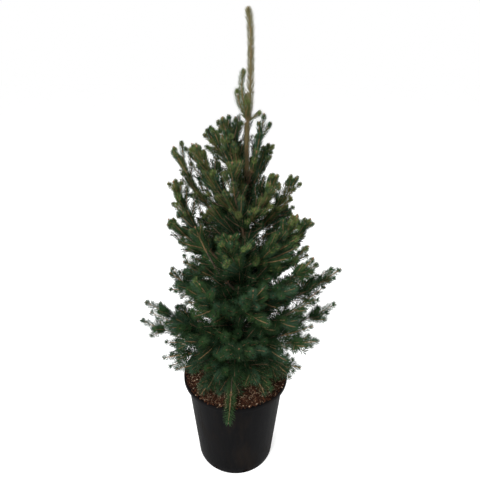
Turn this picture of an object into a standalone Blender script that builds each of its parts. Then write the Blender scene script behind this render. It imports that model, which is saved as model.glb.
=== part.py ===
"""A young white spruce in a black nursery pot, as separate closed solids.

The pot, the soil, the trunk, the main boughs and each mass of needle sprays are objects of their
own. Metres, +Z up. The origin is the centre of the pot's flat underside, and the tree's front is -Y.
Azimuths are in degrees from +X, turning towards +Y.
"""
import math
import random

import bmesh
import bpy
import numpy as np
from mathutils import Matrix, Vector

GAP = 0.0003                    # clearance between touching pieces

# Pot and soil
POT_HEIGHT = 0.265
RIM_RADIUS = 0.140              # outer edge of the flange
WALL_TOP_RADIUS = 0.131         # outside of the wall, under the flange
FOOT_RADIUS = 0.1045
POT_WALL = 0.0020
POT_FLOOR = 0.003               # top of the pot's floor
FLANGE_DROP = 0.011             # height of the turned-down lip
FLANGE_ROUND = 0.0015
FOOT_ROUND = 0.004
DRAIN_COUNT = 8
DRAIN_PHASE = 15                # degrees from +X to the first drain
DRAIN_SIZE = (0.014, 0.007)     # width along the foot, height
DRAIN_DEPTH = 0.030             # length of a drain's cutter, across the foot
TURN_STEPS = 32                 # facets round the pot and the soil
SOIL_EDGE = POT_HEIGHT - 0.004
SOIL_CROWN = POT_HEIGHT + 0.005
SOIL_SEAT_RADIUS = 0.024        # flat middle that the trunk's foot meets
SOIL_SHOULDER = (0.070, SOIL_CROWN - 0.0015)

# Trunk
TRUNK_FOOT = SOIL_CROWN + GAP
TRUNK_TOP = 0.919               # node where the leader starts
TRUNK_GIRTH = ((TRUNK_FOOT, 0.0118), (0.55, 0.0080), (0.79, 0.0048), (TRUNK_TOP, 0.0034))
FLARE_EXTRA = 0.0050            # root flare added at the foot
FLARE_HEIGHT = 0.016
SNAKE = 0.002                   # sideways wander of the centre line, and its turns
SNAKE_TURNS = 9.0
LEAN = 0.024                    # how far the top stands towards +X
LEAN_END = 0.785                # height where the lean is complete
TREE_TOP = 1.135
TRUNK_SIDES = 10
TRUNK_POINTS = 11
FLARE_RINGS = (0.006, 0.015, 0.030)

# Boughs and the axes of the masses
YEAR_GROWTH = 0.062             # typical length of one year's growth on a limb
NODE_LEAD = 0.012               # a bough ends, and side shoots may start, this far before a node
NODE_SCATTER = 0.004
STEP = 0.010                    # spacing of the points along an axis
BOUGH_SIDES = 6
BOUGH_ROOT_RADIUS = 0.0042
BOUGH_TIP_RADIUS = 0.0026
SWAY = 0.006
WHORL_STAGGER = 0.014           # neighbours in a whorl leave the trunk this far apart in height
OPENING = (40, 54)              # degrees between a side shoot's foot and its parent
STEEP_OPENING = (30, 42)
SIDE_SHARE = (0.55, 0.78)       # length of a side shoot, as a share of what its parent has left
STEEP_SHARE = (0.72, 0.95)
STEEP_SLOPE = 1.2               # a limb is steep when its rise is more than this many reaches
SIDE_COUNTS = (2, 2, 3)         # side shoots at a node, drawn from these
SIDE_ROLLS = (0, 180, 265)      # degrees round a flat limb, from its right side over the top
ROLL_SCATTER = 18
BEND_BACK = 0.45                # share of its opening that a side shoot loses towards its tip
UPTURN = 0.10
OVERHANG = 0.020                # how far anything on a limb may reach out beyond its tip
LEAST_SHOOT = 0.038

# Needle sprays
NEEDLE_REACH = ((0.30, 0.0200), (0.60, 0.0180), (0.80, 0.0125), (1.00, 0.0100))
SIDE_REACH = 0.92               # reach on the side shoots, as a share of that on the stem
SHOOT_SHARE = 0.26              # radius of a shoot's faceted body, as a share of its needles' reach
SHOOT_FOOT = 0.55               # its foot and its last ring, as shares of that radius
SHOOT_END = 0.85
SHOOT_SCATTER = 0.08
SHOOT_POINT = 0.35              # length of its tip, in rings
RING_SPACING = (0.014, 0.75)    # distance between its rings, and what each metre of reach adds
NEEDLE_LEAN = 0.65              # how far a needle leans forward, as a share of its length outward
NEEDLE_SIZES = (1.0, 0.75, 0.5)  # tried one after another where room ends
NEEDLE_SPACING = 1.1            # least distance of a needle's tip to other shoots, in reaches
CORE_SIDES = 6                  # facets round the core of a dense mass, and rings along it
CORE_RINGS = 4
CORE_LENGTH = 0.62              # share of the stem that runs through the core
CORE_RADIUS = ((0.50, 0.026), (0.66, 0.020), (0.74, 0.0))
CORE_LEAST = 0.010              # narrower than this a mass has no core
CORE_START = 0.004              # distance from a bough's end to its core, and where a mass has no
CORE_START_SHARE = 0.6          # bough, the share of the first year's growth before its core
CORE_STEP = 0.002
CORE_MARGIN = 0.005             # room left outside a core
CORE_SPIKE = (0.8, 0.5)         # needles on a core: outward and forward, in reaches
ROOM = 0.0004                   # least distance kept to the edge of a mass's space

# Whorls of limbs: height on the trunk, bend of the limbs in degrees (positive turns upwards),
# and for each limb its azimuth, its reach out from the trunk, its rise to the tip, and
# whether its foot is a bough of its own.
WHORLS = {
    "w2": (0.780, 22, (
        (125, 0.042, 0.148, False), (172, 0.088, 0.124, False), (228, 0.066, 0.132, False),
        (292, 0.050, 0.087, False), (345, 0.029, 0.130, False), (30, 0.058, 0.092, False))),
    "i2": (0.705, 24, (
        (206, 0.113, 0.174, False), (321, 0.082, 0.114, False))),
    "w3": (0.660, 26, (
        (188, 0.152, 0.213, True), (152, 0.138, 0.205, False), (2, 0.117, 0.140, False),
        (253, 0.094, 0.193, False), (300, 0.098, 0.150, False), (75, 0.105, 0.165, False))),
    "w4": (0.555, 28, (
        (199, 0.152, 0.250, True), (168, 0.180, 0.135, True), (349, 0.157, 0.160, True),
        (318, 0.149, 0.190, False), (260, 0.135, 0.160, False), (110, 0.152, 0.155, False),
        (40, 0.155, 0.150, False))),
    "w5": (0.455, 26, (
        (198, 0.165, 0.135, True), (150, 0.165, 0.120, False), (355, 0.244, 0.130, True),
        (328, 0.187, 0.195, True), (282, 0.145, 0.140, False), (238, 0.155, 0.150, False),
        (85, 0.172, 0.125, False))),
    "w6": (0.370, 18, (
        (193, 0.220, 0.140, True), (176, 0.247, 0.045, True), (0, 0.248, 0.105, True),
        (338, 0.210, 0.050, True), (272, 0.160, 0.090, True), (228, 0.170, 0.085, True),
        (125, 0.190, 0.085, False), (60, 0.190, 0.085, False))),
    "w7": (0.310, -24, (
        (198, 0.190, 0.045, False), (338, 0.172, 0.020, False), (237, 0.148, -0.003, False),
        (300, 0.138, -0.008, False), (140, 0.165, 0.015, False), (50, 0.160, 0.015, False))),
    "w8": (0.322, -78, (
        (264, 0.166, -0.070, False),)),
}

# The leader bows towards +X between its foot and its tip. Each of its side shoots has an azimuth,
# a reach and a rise from the leader's foot.
LEADER_BOW = 0.0065
LEADER_UPRIGHT = 0.004          # its foot stands upright so far
LEADER_BEND = 30
LEADER_SHOOTS = ((170, 0.021, 0.061), (200, 0.008, 0.098), (5, 0.029, 0.016),
                 (265, 0.020, 0.042), (90, 0.022, 0.050))


def interpolate(table, value):
    return float(np.interp(value, [row[0] for row in table], [row[1] for row in table]))


def needle_reach(z):
    return interpolate(NEEDLE_REACH, z)


def trunk_radius(z):
    flare = FLARE_EXTRA * math.exp(-max(z - TRUNK_FOOT, 0.0) / FLARE_HEIGHT)
    return interpolate(TRUNK_GIRTH, z) + flare


def trunk_point(z):
    """Centre of the trunk at a height: upright at the foot and above the lean."""
    t = min(max((z - TRUNK_FOOT) / (LEAN_END - TRUNK_FOOT), 0.0), 1.0)
    return Vector((LEAN * t * t * (3 - 2 * t), SNAKE * math.sin(SNAKE_TURNS * t) * t, z))


# ---------------------------------------------------------------- axes of the limbs

def limb_path(name, start, azimuth, reach, rise, bend):
    """Points every STEP along an arc from start to the tip, swaying a little sideways."""
    chord, tilt = math.hypot(reach, rise), math.atan2(rise, reach)
    half = math.radians(bend) / 2
    radius = chord / (2 * math.sin(half))
    count = max(4, round(2 * half * radius / STEP))
    sway = SWAY * random.Random(name).uniform(-1, 1)
    turn = Matrix.Rotation(math.radians(azimuth), 3, "Z")
    points = []
    for k in range(count + 1):
        angle = half * (2 * k / count - 1)
        along = radius * (math.sin(angle) + math.sin(half))
        below = radius * (math.cos(angle) - math.cos(half))
        side = sway * math.sin(2 * math.pi * k / count)
        out = along * math.cos(tilt) + below * math.sin(tilt)
        up = along * math.sin(tilt) - below * math.cos(tilt)
        points.append(start + turn @ Vector((out, side, up)))
    return points


def path_length(points):
    return sum((b - a).length for a, b in zip(points, points[1:]))


def point_on(points, distance):
    """The place and the direction at a distance along a path."""
    for a, b in zip(points, points[1:]):
        piece = (b - a).length
        if distance <= piece:
            return a.lerp(b, max(distance, 0.0) / piece), (b - a).normalized()
        distance -= piece
    return points[-1].copy(), (points[-1] - points[-2]).normalized()


def side_path(origin, heading, roll, opening, length):
    """A side shoot: it leaves its parent at an angle and bends back towards the parent's way."""
    across = heading.cross(Vector((0, 0, 1)))
    if across.length < 0.2:
        across = heading.cross(Vector((0, 1, 0)))
    across.normalize()
    above = across.cross(heading).normalized()
    outward = across * math.cos(roll) + above * math.sin(roll)
    count = max(2, round(length / STEP))
    points = [origin.copy()]
    for k in range(count):
        angle = opening * (1 - BEND_BACK * (k + 0.5) / count)
        way = heading * math.cos(angle) + outward * math.sin(angle)
        way.z += UPTURN * k / count
        points.append(points[-1] + way.normalized() * (length / count))
    return points


def years_of(path):
    return max(2, round(path_length(path) / YEAR_GROWTH))


def is_steep(path):
    way = path[-1] - path[0]
    return way.z > STEEP_SLOPE * math.hypot(way.x, way.y)


def grow_sides(name, path, first):
    """Side shoots at the yearly nodes of a mass's stem, by a rule seeded with the mass's name."""
    rng = random.Random(name)
    total, years, steep = path_length(path), years_of(path), is_steep(path)
    openings, shares = (STEEP_OPENING, STEEP_SHARE) if steep else (OPENING, SIDE_SHARE)
    shoots = []
    for year in range(1, years):
        distance = total * year / years + rng.uniform(-NODE_SCATTER, NODE_SCATTER)
        count = rng.choice(SIDE_COUNTS)
        base_roll = rng.uniform(-25, 25)
        for k in range(count):
            spread = 360 * k / count if steep else SIDE_ROLLS[k]
            roll = math.radians(base_roll + spread + rng.uniform(-ROLL_SCATTER, ROLL_SCATTER))
            opening = math.radians(rng.uniform(*openings))
            length = (total - distance) * rng.uniform(*shares) + NODE_LEAD
            if distance < first:
                continue
            origin, heading = point_on(path, distance)
            shoots.append(side_path(origin, heading, roll, opening, length))
    return shoots


# ---------------------------------------------------------------- room of each mass

class Crown:
    """All limb axes, as points that know their limb, to tell whose space a place is in."""

    def __init__(self):
        self.points = []
        self.owners = []

    def add(self, name, path):
        for a, b in zip(path, path[1:]):
            self.points += [a, a.lerp(b, 0.5)]
        self.points.append(path[-1])
        self.owners += [name] * (len(self.points) - len(self.owners))

    def close(self):
        self.points = np.array([tuple(p) for p in self.points])
        self.owners = np.array(self.owners)

    def room(self, name, place, bough):
        """Free distance from a place to the edge of the mass's space, the limbs and the pot."""
        distances = np.linalg.norm(self.points - np.array(tuple(place)), axis=1)
        own = self.owners == name
        room = (distances[~own].min() - distances[own].min()) / 2
        z = min(max(place.z, TRUNK_FOOT), TRUNK_TOP)
        room = min(room, (place - trunk_point(z)).length - trunk_radius(z) - GAP)
        if bough:
            room = min(room, min(edge_distance(place, a, b) for a, b in zip(bough, bough[1:]))
                       - BOUGH_ROOT_RADIUS - GAP)
        return min(room, pot_distance(place))


def edge_distance(place, a, b):
    along = b - a
    t = min(max((place - a).dot(along) / along.length_squared, 0.0), 1.0)
    return (place - a - along * t).length


def pot_distance(place):
    """Distance to the soil and to the flange, as if the pot were solid up to its brim."""
    out = math.hypot(place.x, place.y)
    if out < RIM_RADIUS:
        return place.z - SOIL_CROWN - GAP
    if place.z > POT_HEIGHT:
        return math.hypot(out - RIM_RADIUS, place.z - POT_HEIGHT) - GAP
    return out - RIM_RADIUS - GAP


# ---------------------------------------------------------------- meshes

def new_object(name, mesh, collection, material=None):
    obj = bpy.data.objects.new(name, mesh)
    collection.objects.link(obj)
    if material:
        mesh.materials.clear()
        mesh.materials.append(material)
    return obj


def islands(bm):
    """The connected pieces of a mesh, as lists of vertices."""
    left, found = set(bm.verts), []
    while left:
        piece, front = set(), [left.pop()]
        while front:
            vert = front.pop()
            piece.add(vert)
            near = {edge.other_vert(vert) for edge in vert.link_edges} & left
            left -= near
            front.extend(near)
        found.append(list(piece))
    return sorted(found, key=len)


def evaluated_mesh(obj, name, is_union=False):
    """The object's evaluated mesh as a new mesh. A curve's loose caps are welded. Of a union only
    the largest piece is kept: a hollow that it sealed and a scrap that it cut loose are dropped."""
    depsgraph = bpy.context.evaluated_depsgraph_get()
    mesh = bpy.data.meshes.new_from_object(obj.evaluated_get(depsgraph), depsgraph=depsgraph)
    mesh.name = name
    bm = bmesh.new()
    bm.from_mesh(mesh)
    if is_union:
        for piece in islands(bm)[:-1]:
            bmesh.ops.delete(bm, geom=piece, context="VERTS")
    else:
        bmesh.ops.remove_doubles(bm, verts=bm.verts, dist=0.00002)
    bmesh.ops.triangulate(bm, faces=bm.faces)
    bm.to_mesh(mesh)
    bm.free()
    return mesh


def tube(name, points, radii, sides, collection, material=None):
    """A tapering round limb as a welded mesh object: a bevelled curve through the points."""
    curve = bpy.data.curves.new(name + "_curve", "CURVE")
    curve.dimensions = "3D"
    curve.bevel_mode = "ROUND"
    curve.bevel_depth = 1.0
    curve.bevel_resolution = (sides - 4) // 2
    curve.use_fill_caps = True
    spline = curve.splines.new("POLY")
    spline.points.add(len(points) - 1)
    for point, place, radius in zip(spline.points, points, radii):
        point.co = (*place, 1.0)
        point.radius = radius
    guide = bpy.data.objects.new(name + "_curve", curve)
    collection.objects.link(guide)
    bpy.context.view_layer.update()
    mesh = evaluated_mesh(guide, name)
    bpy.data.objects.remove(guide)
    return new_object(name, mesh, collection, material)


def boolean(obj, operation, solver="EXACT", cutter=None, collection=None):
    modifier = obj.modifiers.new(operation.title(), "BOOLEAN")
    modifier.operation = operation
    modifier.solver = solver
    if collection:
        modifier.operand_type = "COLLECTION"
        modifier.collection = collection
    else:
        modifier.object = cutter
    return modifier


def material(name, colour, roughness):
    mat = bpy.data.materials.new(name)
    mat.use_nodes = True
    shader = mat.node_tree.nodes["Principled BSDF"]
    shader.inputs["Base Color"].default_value = (*colour, 1.0)
    shader.inputs["Roughness"].default_value = roughness
    shader.inputs["Metallic"].default_value = 0.0
    mat.diffuse_color = (*colour, 1.0)
    return mat


# ---------------------------------------------------------------- pot and soil

def turned(name, profile, collection, mat):
    """A solid turned from a profile that runs down its outer side at +X."""
    mesh = bpy.data.meshes.new(name)
    edges = [(k, k + 1) for k in range(len(profile) - 1)]
    mesh.from_pydata([(x, 0.0, z) for x, z in profile], edges, [])
    obj = new_object(name, mesh, collection, mat)
    screw = obj.modifiers.new("Turn", "SCREW")
    screw.axis = "Z"
    screw.steps = TURN_STEPS
    screw.render_steps = TURN_STEPS
    screw.use_merge_vertices = True
    screw.merge_threshold = 0.00001
    return obj


def wall_radius(z):
    """Outside radius of the tapering wall."""
    return FOOT_RADIUS + (WALL_TOP_RADIUS - FOOT_RADIUS) * z / POT_HEIGHT


def make_pot(collection, cutters):
    lip = POT_HEIGHT - FLANGE_DROP
    under = POT_HEIGHT - POT_WALL
    profile = [
        (0.0, POT_FLOOR),
        (wall_radius(POT_FLOOR) - POT_WALL, POT_FLOOR),
        (WALL_TOP_RADIUS - POT_WALL, POT_HEIGHT),
        (RIM_RADIUS - FLANGE_ROUND, POT_HEIGHT),
        (RIM_RADIUS, POT_HEIGHT - FLANGE_ROUND),
        (RIM_RADIUS, lip),
        (RIM_RADIUS - POT_WALL, lip),
        (RIM_RADIUS - POT_WALL, under),
        (wall_radius(under), under),
        (wall_radius(FOOT_ROUND), FOOT_ROUND),
        (wall_radius(0) - FOOT_ROUND, 0.0),
        (0.0, 0.0),
    ]
    pot = turned("pot", profile, collection, material("black_plastic", (0.018, 0.018, 0.019), 0.5))
    for k in range(DRAIN_COUNT):
        angle = math.radians(DRAIN_PHASE + 360 * k / DRAIN_COUNT)
        bpy.ops.mesh.primitive_cube_add(size=1)
        hole = bpy.context.object
        hole.name = f"drain_cutter_{k + 1}"
        hole.data.transform(Matrix.Diagonal((DRAIN_DEPTH, DRAIN_SIZE[0], DRAIN_SIZE[1], 1)))
        hole.rotation_euler.z = angle
        hole.location = (FOOT_RADIUS * math.cos(angle), FOOT_RADIUS * math.sin(angle),
                         POT_FLOOR + DRAIN_SIZE[1] * 0.9)
        move_to(hole, cutters)
        boolean(pot, "DIFFERENCE", cutter=hole)
    return pot


def make_soil(collection):
    bottom = POT_FLOOR + GAP
    side = POT_WALL + GAP
    profile = [
        (0.0, SOIL_CROWN),
        (SOIL_SEAT_RADIUS, SOIL_CROWN),
        SOIL_SHOULDER,
        (wall_radius(SOIL_EDGE) - side, SOIL_EDGE),
        (wall_radius(bottom) - side, bottom),
        (0.0, bottom),
    ]
    return turned("soil", profile, collection, material("bark_mulch", (0.085, 0.040, 0.024), 0.95))


def move_to(obj, collection):
    for old in list(obj.users_collection):
        old.objects.unlink(obj)
    collection.objects.link(obj)
    obj.hide_render = True
    obj.display_type = "WIRE"


# ---------------------------------------------------------------- needle sprays

def frame_matrix(place, heading, turn, scale):
    """Places a unit ring in the plane across a heading, turned and scaled."""
    rotation = heading.to_track_quat("Z", "X").to_matrix().to_4x4()
    return (Matrix.Translation(place) @ rotation @ Matrix.Rotation(turn, 4, "Z")
            @ Matrix.Diagonal((scale, scale, scale, 1)))


def needle_spray(name, path, reach, rng, is_free, collection, root_radius=None, bare=0.0):
    """One shoot: a slim three-sided body, each ring turned 60 degrees from the last, with needles
    raised from half of its triangles where their place is free, past a bare first length."""
    total = path_length(path)
    body = reach * SHOOT_SHARE
    bands = max(2, round(total / (RING_SPACING[0] + RING_SPACING[1] * reach)))
    step = total / (bands + SHOOT_POINT)
    turn = rng.uniform(0, 2 * math.pi)
    bm = bmesh.new()
    ring = bmesh.ops.create_circle(bm, cap_ends=True, segments=3, radius=1.0)["verts"]
    place, heading = point_on(path, 0.0)
    old = frame_matrix(place, heading, turn, root_radius or body * SHOOT_FOOT)
    bmesh.ops.transform(bm, matrix=old, verts=ring)
    bm.faces.ensure_lookup_table()
    end = bm.faces[0]
    sides = []
    for band in range(1, bands + 1):
        place, heading = point_on(path, step * band)
        scale = body * (1.0 if band < bands else SHOOT_END)
        scale *= rng.uniform(1 - SHOOT_SCATTER, 1 + SHOOT_SCATTER)
        new = frame_matrix(place, heading, turn + band * math.pi / 3, scale)
        grown = bmesh.ops.extrude_face_region(bm, geom=[end])["geom"]
        verts = [item for item in grown if isinstance(item, bmesh.types.BMVert)]
        bmesh.ops.transform(bm, matrix=new @ old.inverted(), verts=verts)
        if band > 1:
            bmesh.ops.delete(bm, geom=[end], context="FACES_ONLY")
        end = next(item for item in grown if isinstance(item, bmesh.types.BMFace))
        around = dict.fromkeys(face for vert in verts for face in vert.link_faces)
        sides.append([face for face in around if len(face.verts) == 4])
        old = new
    tip = bmesh.ops.poke(bm, faces=[end])["verts"]
    tip[0].co = path[-1]
    for band, quads in enumerate(sides):
        split = bmesh.ops.triangulate(bm, faces=quads, quad_method="SHORT_EDGE")["faces"]
        if band == 0 or step * band < bare:
            continue
        centre, forward = point_on(path, step * (band + 0.5))
        for face in split[::2]:
            raise_needle(bm, face, centre, forward, reach, rng, is_free)
    bmesh.ops.recalc_face_normals(bm, faces=bm.faces)
    mesh = bpy.data.meshes.new(name)
    bm.to_mesh(mesh)
    bm.free()
    return new_object(name, mesh, collection)


def raise_needle(bm, face, centre, forward, reach, rng, is_free):
    """Pokes a triangle into a needle that leans forward, shorter or left out where room ends."""
    middle = face.calc_center_median()
    outward = middle - centre
    outward = (outward - forward * outward.dot(forward)).normalized()
    for size in NEEDLE_SIZES:
        length = reach * size * rng.uniform(0.85, 1.0)
        apex = centre + outward * length + forward * length * NEEDLE_LEAN
        if is_free(apex) and is_free(middle.lerp(apex, 0.5)):
            bmesh.ops.poke(bm, faces=[face])["verts"][0].co = apex
            return


def dense_core(name, path, first, widest, reach, has_room, is_free, collection):
    """A faceted core round the inner part of a dense mass's stem, as wide as there is room."""
    bm = bmesh.new()
    bmesh.ops.create_uvsphere(bm, u_segments=CORE_SIDES, v_segments=CORE_RINGS, radius=1.0)
    total = path_length(path)
    inner, outer = first, first + (total - first) * CORE_LENGTH
    for vert in bm.verts:
        share = (vert.co.z + 1) / 2
        place, heading = point_on(path, inner + (outer - inner) * share)
        across = Vector((vert.co.x, vert.co.y, 0))
        swell = across.length
        vert.co = place
        if swell < 0.01:
            continue
        out = (heading.to_track_quat("Z", "X") @ across).normalized()
        radius = 2 * CORE_STEP
        while radius < widest * swell and has_room(place + out * (radius + CORE_MARGIN)) > 0:
            radius += CORE_STEP
        vert.co += out * radius
    bmesh.ops.triangulate(bm, faces=bm.faces, quad_method="SHORT_EDGE")
    forward = point_on(path, (inner + outer) / 2)[1]
    in_order = sorted(bm.faces, key=lambda face: tuple(face.calc_center_median()))
    for face in in_order[::2]:
        middle = face.calc_center_median()
        apex = middle + face.normal * reach * CORE_SPIKE[0] + forward * reach * CORE_SPIKE[1]
        if is_free(apex) and is_free(middle.lerp(apex, 0.5)):
            bmesh.ops.poke(bm, faces=[face])["verts"][0].co = apex
    mesh = bpy.data.meshes.new(name)
    bm.to_mesh(mesh)
    bm.free()
    return new_object(name, mesh, collection)


def make_mass(name, shoots, has_room, collection, mat, core=None):
    """Joins a stem and its side shoots, each with needles, into one solid by one union. core is
    the distance along the stem where a dense core starts, and its greatest radius."""
    rng = random.Random(name + "_needles")
    group = bpy.data.collections.new(name + "_shoots")
    bpy.context.scene.collection.children.link(group)
    pieces = []

    def free_beside(number, spacing):
        others = [point for k, path in enumerate(shoots) if k != number for point in path[1:]]
        return lambda place: (has_room(place) > ROOM
                              and all((place - other).length > spacing for other in others))

    for number, path in enumerate(shoots):
        is_stem = number == 0
        reach = needle_reach(path[-1].z) * (1.0 if is_stem else SIDE_REACH)
        home = collection if is_stem else group
        root = BOUGH_TIP_RADIUS if is_stem else None
        is_free = free_beside(number, reach * NEEDLE_SPACING)
        bare = core[0] + (path_length(path) - core[0]) * CORE_LENGTH if core and is_stem else 0.0
        pieces.append(needle_spray(f"{name}_{number}", path, reach, rng, is_free, home, root, bare))
    if core:
        reach = needle_reach(shoots[0][0].z)
        is_free = free_beside(0, reach * NEEDLE_SPACING)
        pieces.append(dense_core(name + "_core", shoots[0], *core, reach, has_room, is_free, group))
    stem = pieces[0]
    if len(pieces) > 1:
        boolean(stem, "UNION", solver="MANIFOLD", collection=group)
    mesh = evaluated_mesh(stem, name, is_union=True)
    for piece in pieces:
        bpy.data.objects.remove(piece)
    bpy.data.collections.remove(group)
    return new_object(name, mesh, collection, mat)


# ---------------------------------------------------------------- the tree

def leader_paths():
    """The leader and the side shoots round its foot."""
    foot = trunk_point(TRUNK_TOP) + Vector((0, 0, GAP))
    height = TREE_TOP - foot.z
    count = round(height / STEP)
    stem = []
    for k in range(count + 1):
        t = k / count
        stem.append(foot + Vector((LEADER_BOW * (1 - (2 * t - 1) ** 4), 0, height * t)))
    stem.insert(1, foot + Vector((0, 0, LEADER_UPRIGHT)))
    root = foot + Vector((0, 0, 2 * LEADER_UPRIGHT))
    sides = [limb_path(f"leader_{k}", root, azimuth, reach, rise, LEADER_BEND)
             for k, (azimuth, reach, rise) in enumerate(LEADER_SHOOTS)]
    return [stem] + sides


def limbs():
    """Every limb of the whorls as (name, axis, has_bough), each with its foot in the trunk."""
    found = []
    for whorl, (height, bend, rows) in WHORLS.items():
        order = sorted(range(len(rows)), key=lambda k: rows[k][0])
        for place, k in enumerate(order):
            azimuth, reach, rise, has_bough = rows[k]
            step = (place % 3 - 1) * WHORL_STAGGER
            start = trunk_point(height + step)
            name = f"{whorl}_{k + 1}"
            found.append((name, limb_path(name, start, azimuth, reach, rise - step, bend), has_bough))
    return found


def parted(path, distance):
    """The part of a path up to a distance, and the part beyond it."""
    place = point_on(path, distance)[0]
    head, rest, walked = [path[0]], [place], 0.0
    for a, b in zip(path, path[1:]):
        walked += (b - a).length
        if walked < distance - STEP / 5:
            head.append(b)
        if walked > distance + STEP / 5:
            rest.append(b)
    return head + [place], rest


def trimmed(path, has_room, radius):
    """A side shoot as far as it stays in its mass's space, or nothing if that is too short."""
    kept = path[:1]
    for point in path[1:]:
        if has_room(point) < radius + ROOM:
            break
        kept.append(point)
    return kept if path_length(kept) > LEAST_SHOOT else None


def distance_out(place):
    """Distance from the trunk's centre line, measured level."""
    centre = trunk_point(min(max(place.z, TRUNK_FOOT), TRUNK_TOP))
    return math.hypot(place.x - centre.x, place.y - centre.y)


def make_limb(name, path, has_bough, crown, clearance, collection, mats):
    """A limb's bough, if it has one, and the mass of sprays that follows it along the same axis."""
    first = path_length(path) / years_of(path) - NODE_LEAD
    bough, stem = None, path
    if has_bough:
        bough, stem = parted(path, first)
        thinned = bough[:-2:3] + bough[-1:]
        radii = np.linspace(BOUGH_ROOT_RADIUS, BOUGH_TIP_RADIUS, len(thinned))
        limb = tube("bough_" + name, thinned, radii, BOUGH_SIDES, collection, mats["bark"])
        boolean(limb, "DIFFERENCE", cutter=clearance)
        stem[0] = point_on(path, first + GAP)[0]
    farthest = distance_out(path[-1]) + OVERHANG

    def has_room(place):
        return min(crown.room(name, place, bough), farthest - distance_out(place))

    radius = needle_reach(path[-1].z) * SHOOT_SHARE
    sides = [trimmed(side, has_room, radius) for side in grow_sides(name, path, first)]
    widest = interpolate(CORE_RADIUS, path[0].z)
    core = (CORE_START if has_bough else first * CORE_START_SHARE, widest)
    mass = make_mass("mass_" + name, [stem] + [side for side in sides if side], has_room,
                     collection, mats["needles"], core if widest > CORE_LEAST else None)
    if not has_bough:
        boolean(mass, "DIFFERENCE", solver="MANIFOLD", cutter=clearance)


def main():
    for old in list(bpy.data.objects):
        bpy.data.objects.remove(old)
    tree = bpy.data.collections.new("potted_white_spruce")
    cutters = bpy.data.collections.new("cutters")
    for collection in (tree, cutters):
        bpy.context.scene.collection.children.link(collection)
    mats = {"bark": material("bark", (0.150, 0.105, 0.075), 0.9),
            "needles": material("needles", (0.060, 0.105, 0.055), 0.8)}

    make_pot(tree, cutters)
    make_soil(tree)

    heights = np.linspace(TRUNK_FOOT, TRUNK_TOP, TRUNK_POINTS)
    heights = np.insert(heights, 1, TRUNK_FOOT + np.array(FLARE_RINGS))
    girths = [trunk_radius(z) for z in heights]
    tube("trunk", [trunk_point(z) for z in heights], girths, TRUNK_SIDES, tree, mats["bark"])
    clearance = tube("trunk_clearance", [trunk_point(z) for z in (*heights, TRUNK_TOP + STEP)],
                     [girth + GAP for girth in (*girths, girths[-1])], TRUNK_SIDES, cutters)
    move_to(clearance, cutters)

    crown = Crown()
    leader = leader_paths()
    for path in leader:
        crown.add("leader", path)
    all_limbs = limbs()
    for name, path, _ in all_limbs:
        crown.add(name, path)
    crown.close()

    make_mass("leader", leader, lambda place: crown.room("leader", place, None), tree,
              mats["needles"])
    for name, path, has_bough in all_limbs:
        make_limb(name, path, has_bough, crown, clearance, tree, mats)


if __name__ == "__main__":
    main()
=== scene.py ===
import math
import random

import bmesh
import bpy
import numpy as np
from mathutils import Matrix, Vector, noise


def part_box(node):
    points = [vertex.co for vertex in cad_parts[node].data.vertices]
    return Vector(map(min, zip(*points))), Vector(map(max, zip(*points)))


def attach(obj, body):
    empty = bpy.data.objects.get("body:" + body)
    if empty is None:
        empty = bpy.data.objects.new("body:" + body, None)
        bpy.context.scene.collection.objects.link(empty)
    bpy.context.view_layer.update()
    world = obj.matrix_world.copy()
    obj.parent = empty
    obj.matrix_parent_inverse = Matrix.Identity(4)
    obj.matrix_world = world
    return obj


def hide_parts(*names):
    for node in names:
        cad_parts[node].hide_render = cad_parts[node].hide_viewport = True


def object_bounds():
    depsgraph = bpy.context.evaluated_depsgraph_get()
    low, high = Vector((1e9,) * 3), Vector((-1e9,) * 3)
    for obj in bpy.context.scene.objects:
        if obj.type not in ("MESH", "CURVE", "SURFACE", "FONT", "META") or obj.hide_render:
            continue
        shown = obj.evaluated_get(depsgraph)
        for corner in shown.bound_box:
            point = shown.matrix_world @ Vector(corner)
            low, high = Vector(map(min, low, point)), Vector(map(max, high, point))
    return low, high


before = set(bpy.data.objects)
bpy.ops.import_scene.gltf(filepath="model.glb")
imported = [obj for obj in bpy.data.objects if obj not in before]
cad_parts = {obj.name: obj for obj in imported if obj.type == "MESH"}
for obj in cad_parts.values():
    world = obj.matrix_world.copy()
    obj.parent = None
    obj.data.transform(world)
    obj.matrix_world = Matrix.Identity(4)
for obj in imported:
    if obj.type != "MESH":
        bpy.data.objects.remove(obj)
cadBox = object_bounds()
nodeNames = sorted(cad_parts)
print("frame loaded:", len(nodeNames), "nodes")

up = Vector((0, 0, 1))
goldenTurn = math.radians(137.508)
mergeWithin = 0.00001

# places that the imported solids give
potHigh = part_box("pot")[1]
soilLow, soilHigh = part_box("soil")
trunkLow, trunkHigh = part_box("trunk")
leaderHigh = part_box("leader")[1]


# trunk: its centre line and girth
trunk = {
    "foot": trunkLow.z,
    "top": trunkHigh.z,
    "treeTop": leaderHigh.z,
    "girth": ((trunkLow.z, 0.0118), (0.55, 0.0080), (0.79, 0.0048), (trunkHigh.z, 0.0034)),
    "flare": 0.0050,
    "flareHeight": 0.016,
    "lean": 0.024,
    "leanEnd": 0.785,
    "wander": 0.002,            # how far it strays forwards and back, and in how many waves
    "waves": 9,
    "rings": 90,
    "youngFrom": (0.72, 0.82),  # above these heights the bark is smoother and lighter
    "needlesFrom": 0.60,        # above this height it bears needles of its own
    "needlePoints": 40,
}


def tableAt(table, values):
    return np.interp(values, *zip(*table))


def jitter(rng, most, *count):
    return rng.uniform(-most, most, *count)


def trunkRadius(z):
    flare = trunk["flare"] * math.exp(-max(z - trunk["foot"], 0) / trunk["flareHeight"])
    return tableAt(trunk["girth"], z) + flare


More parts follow.
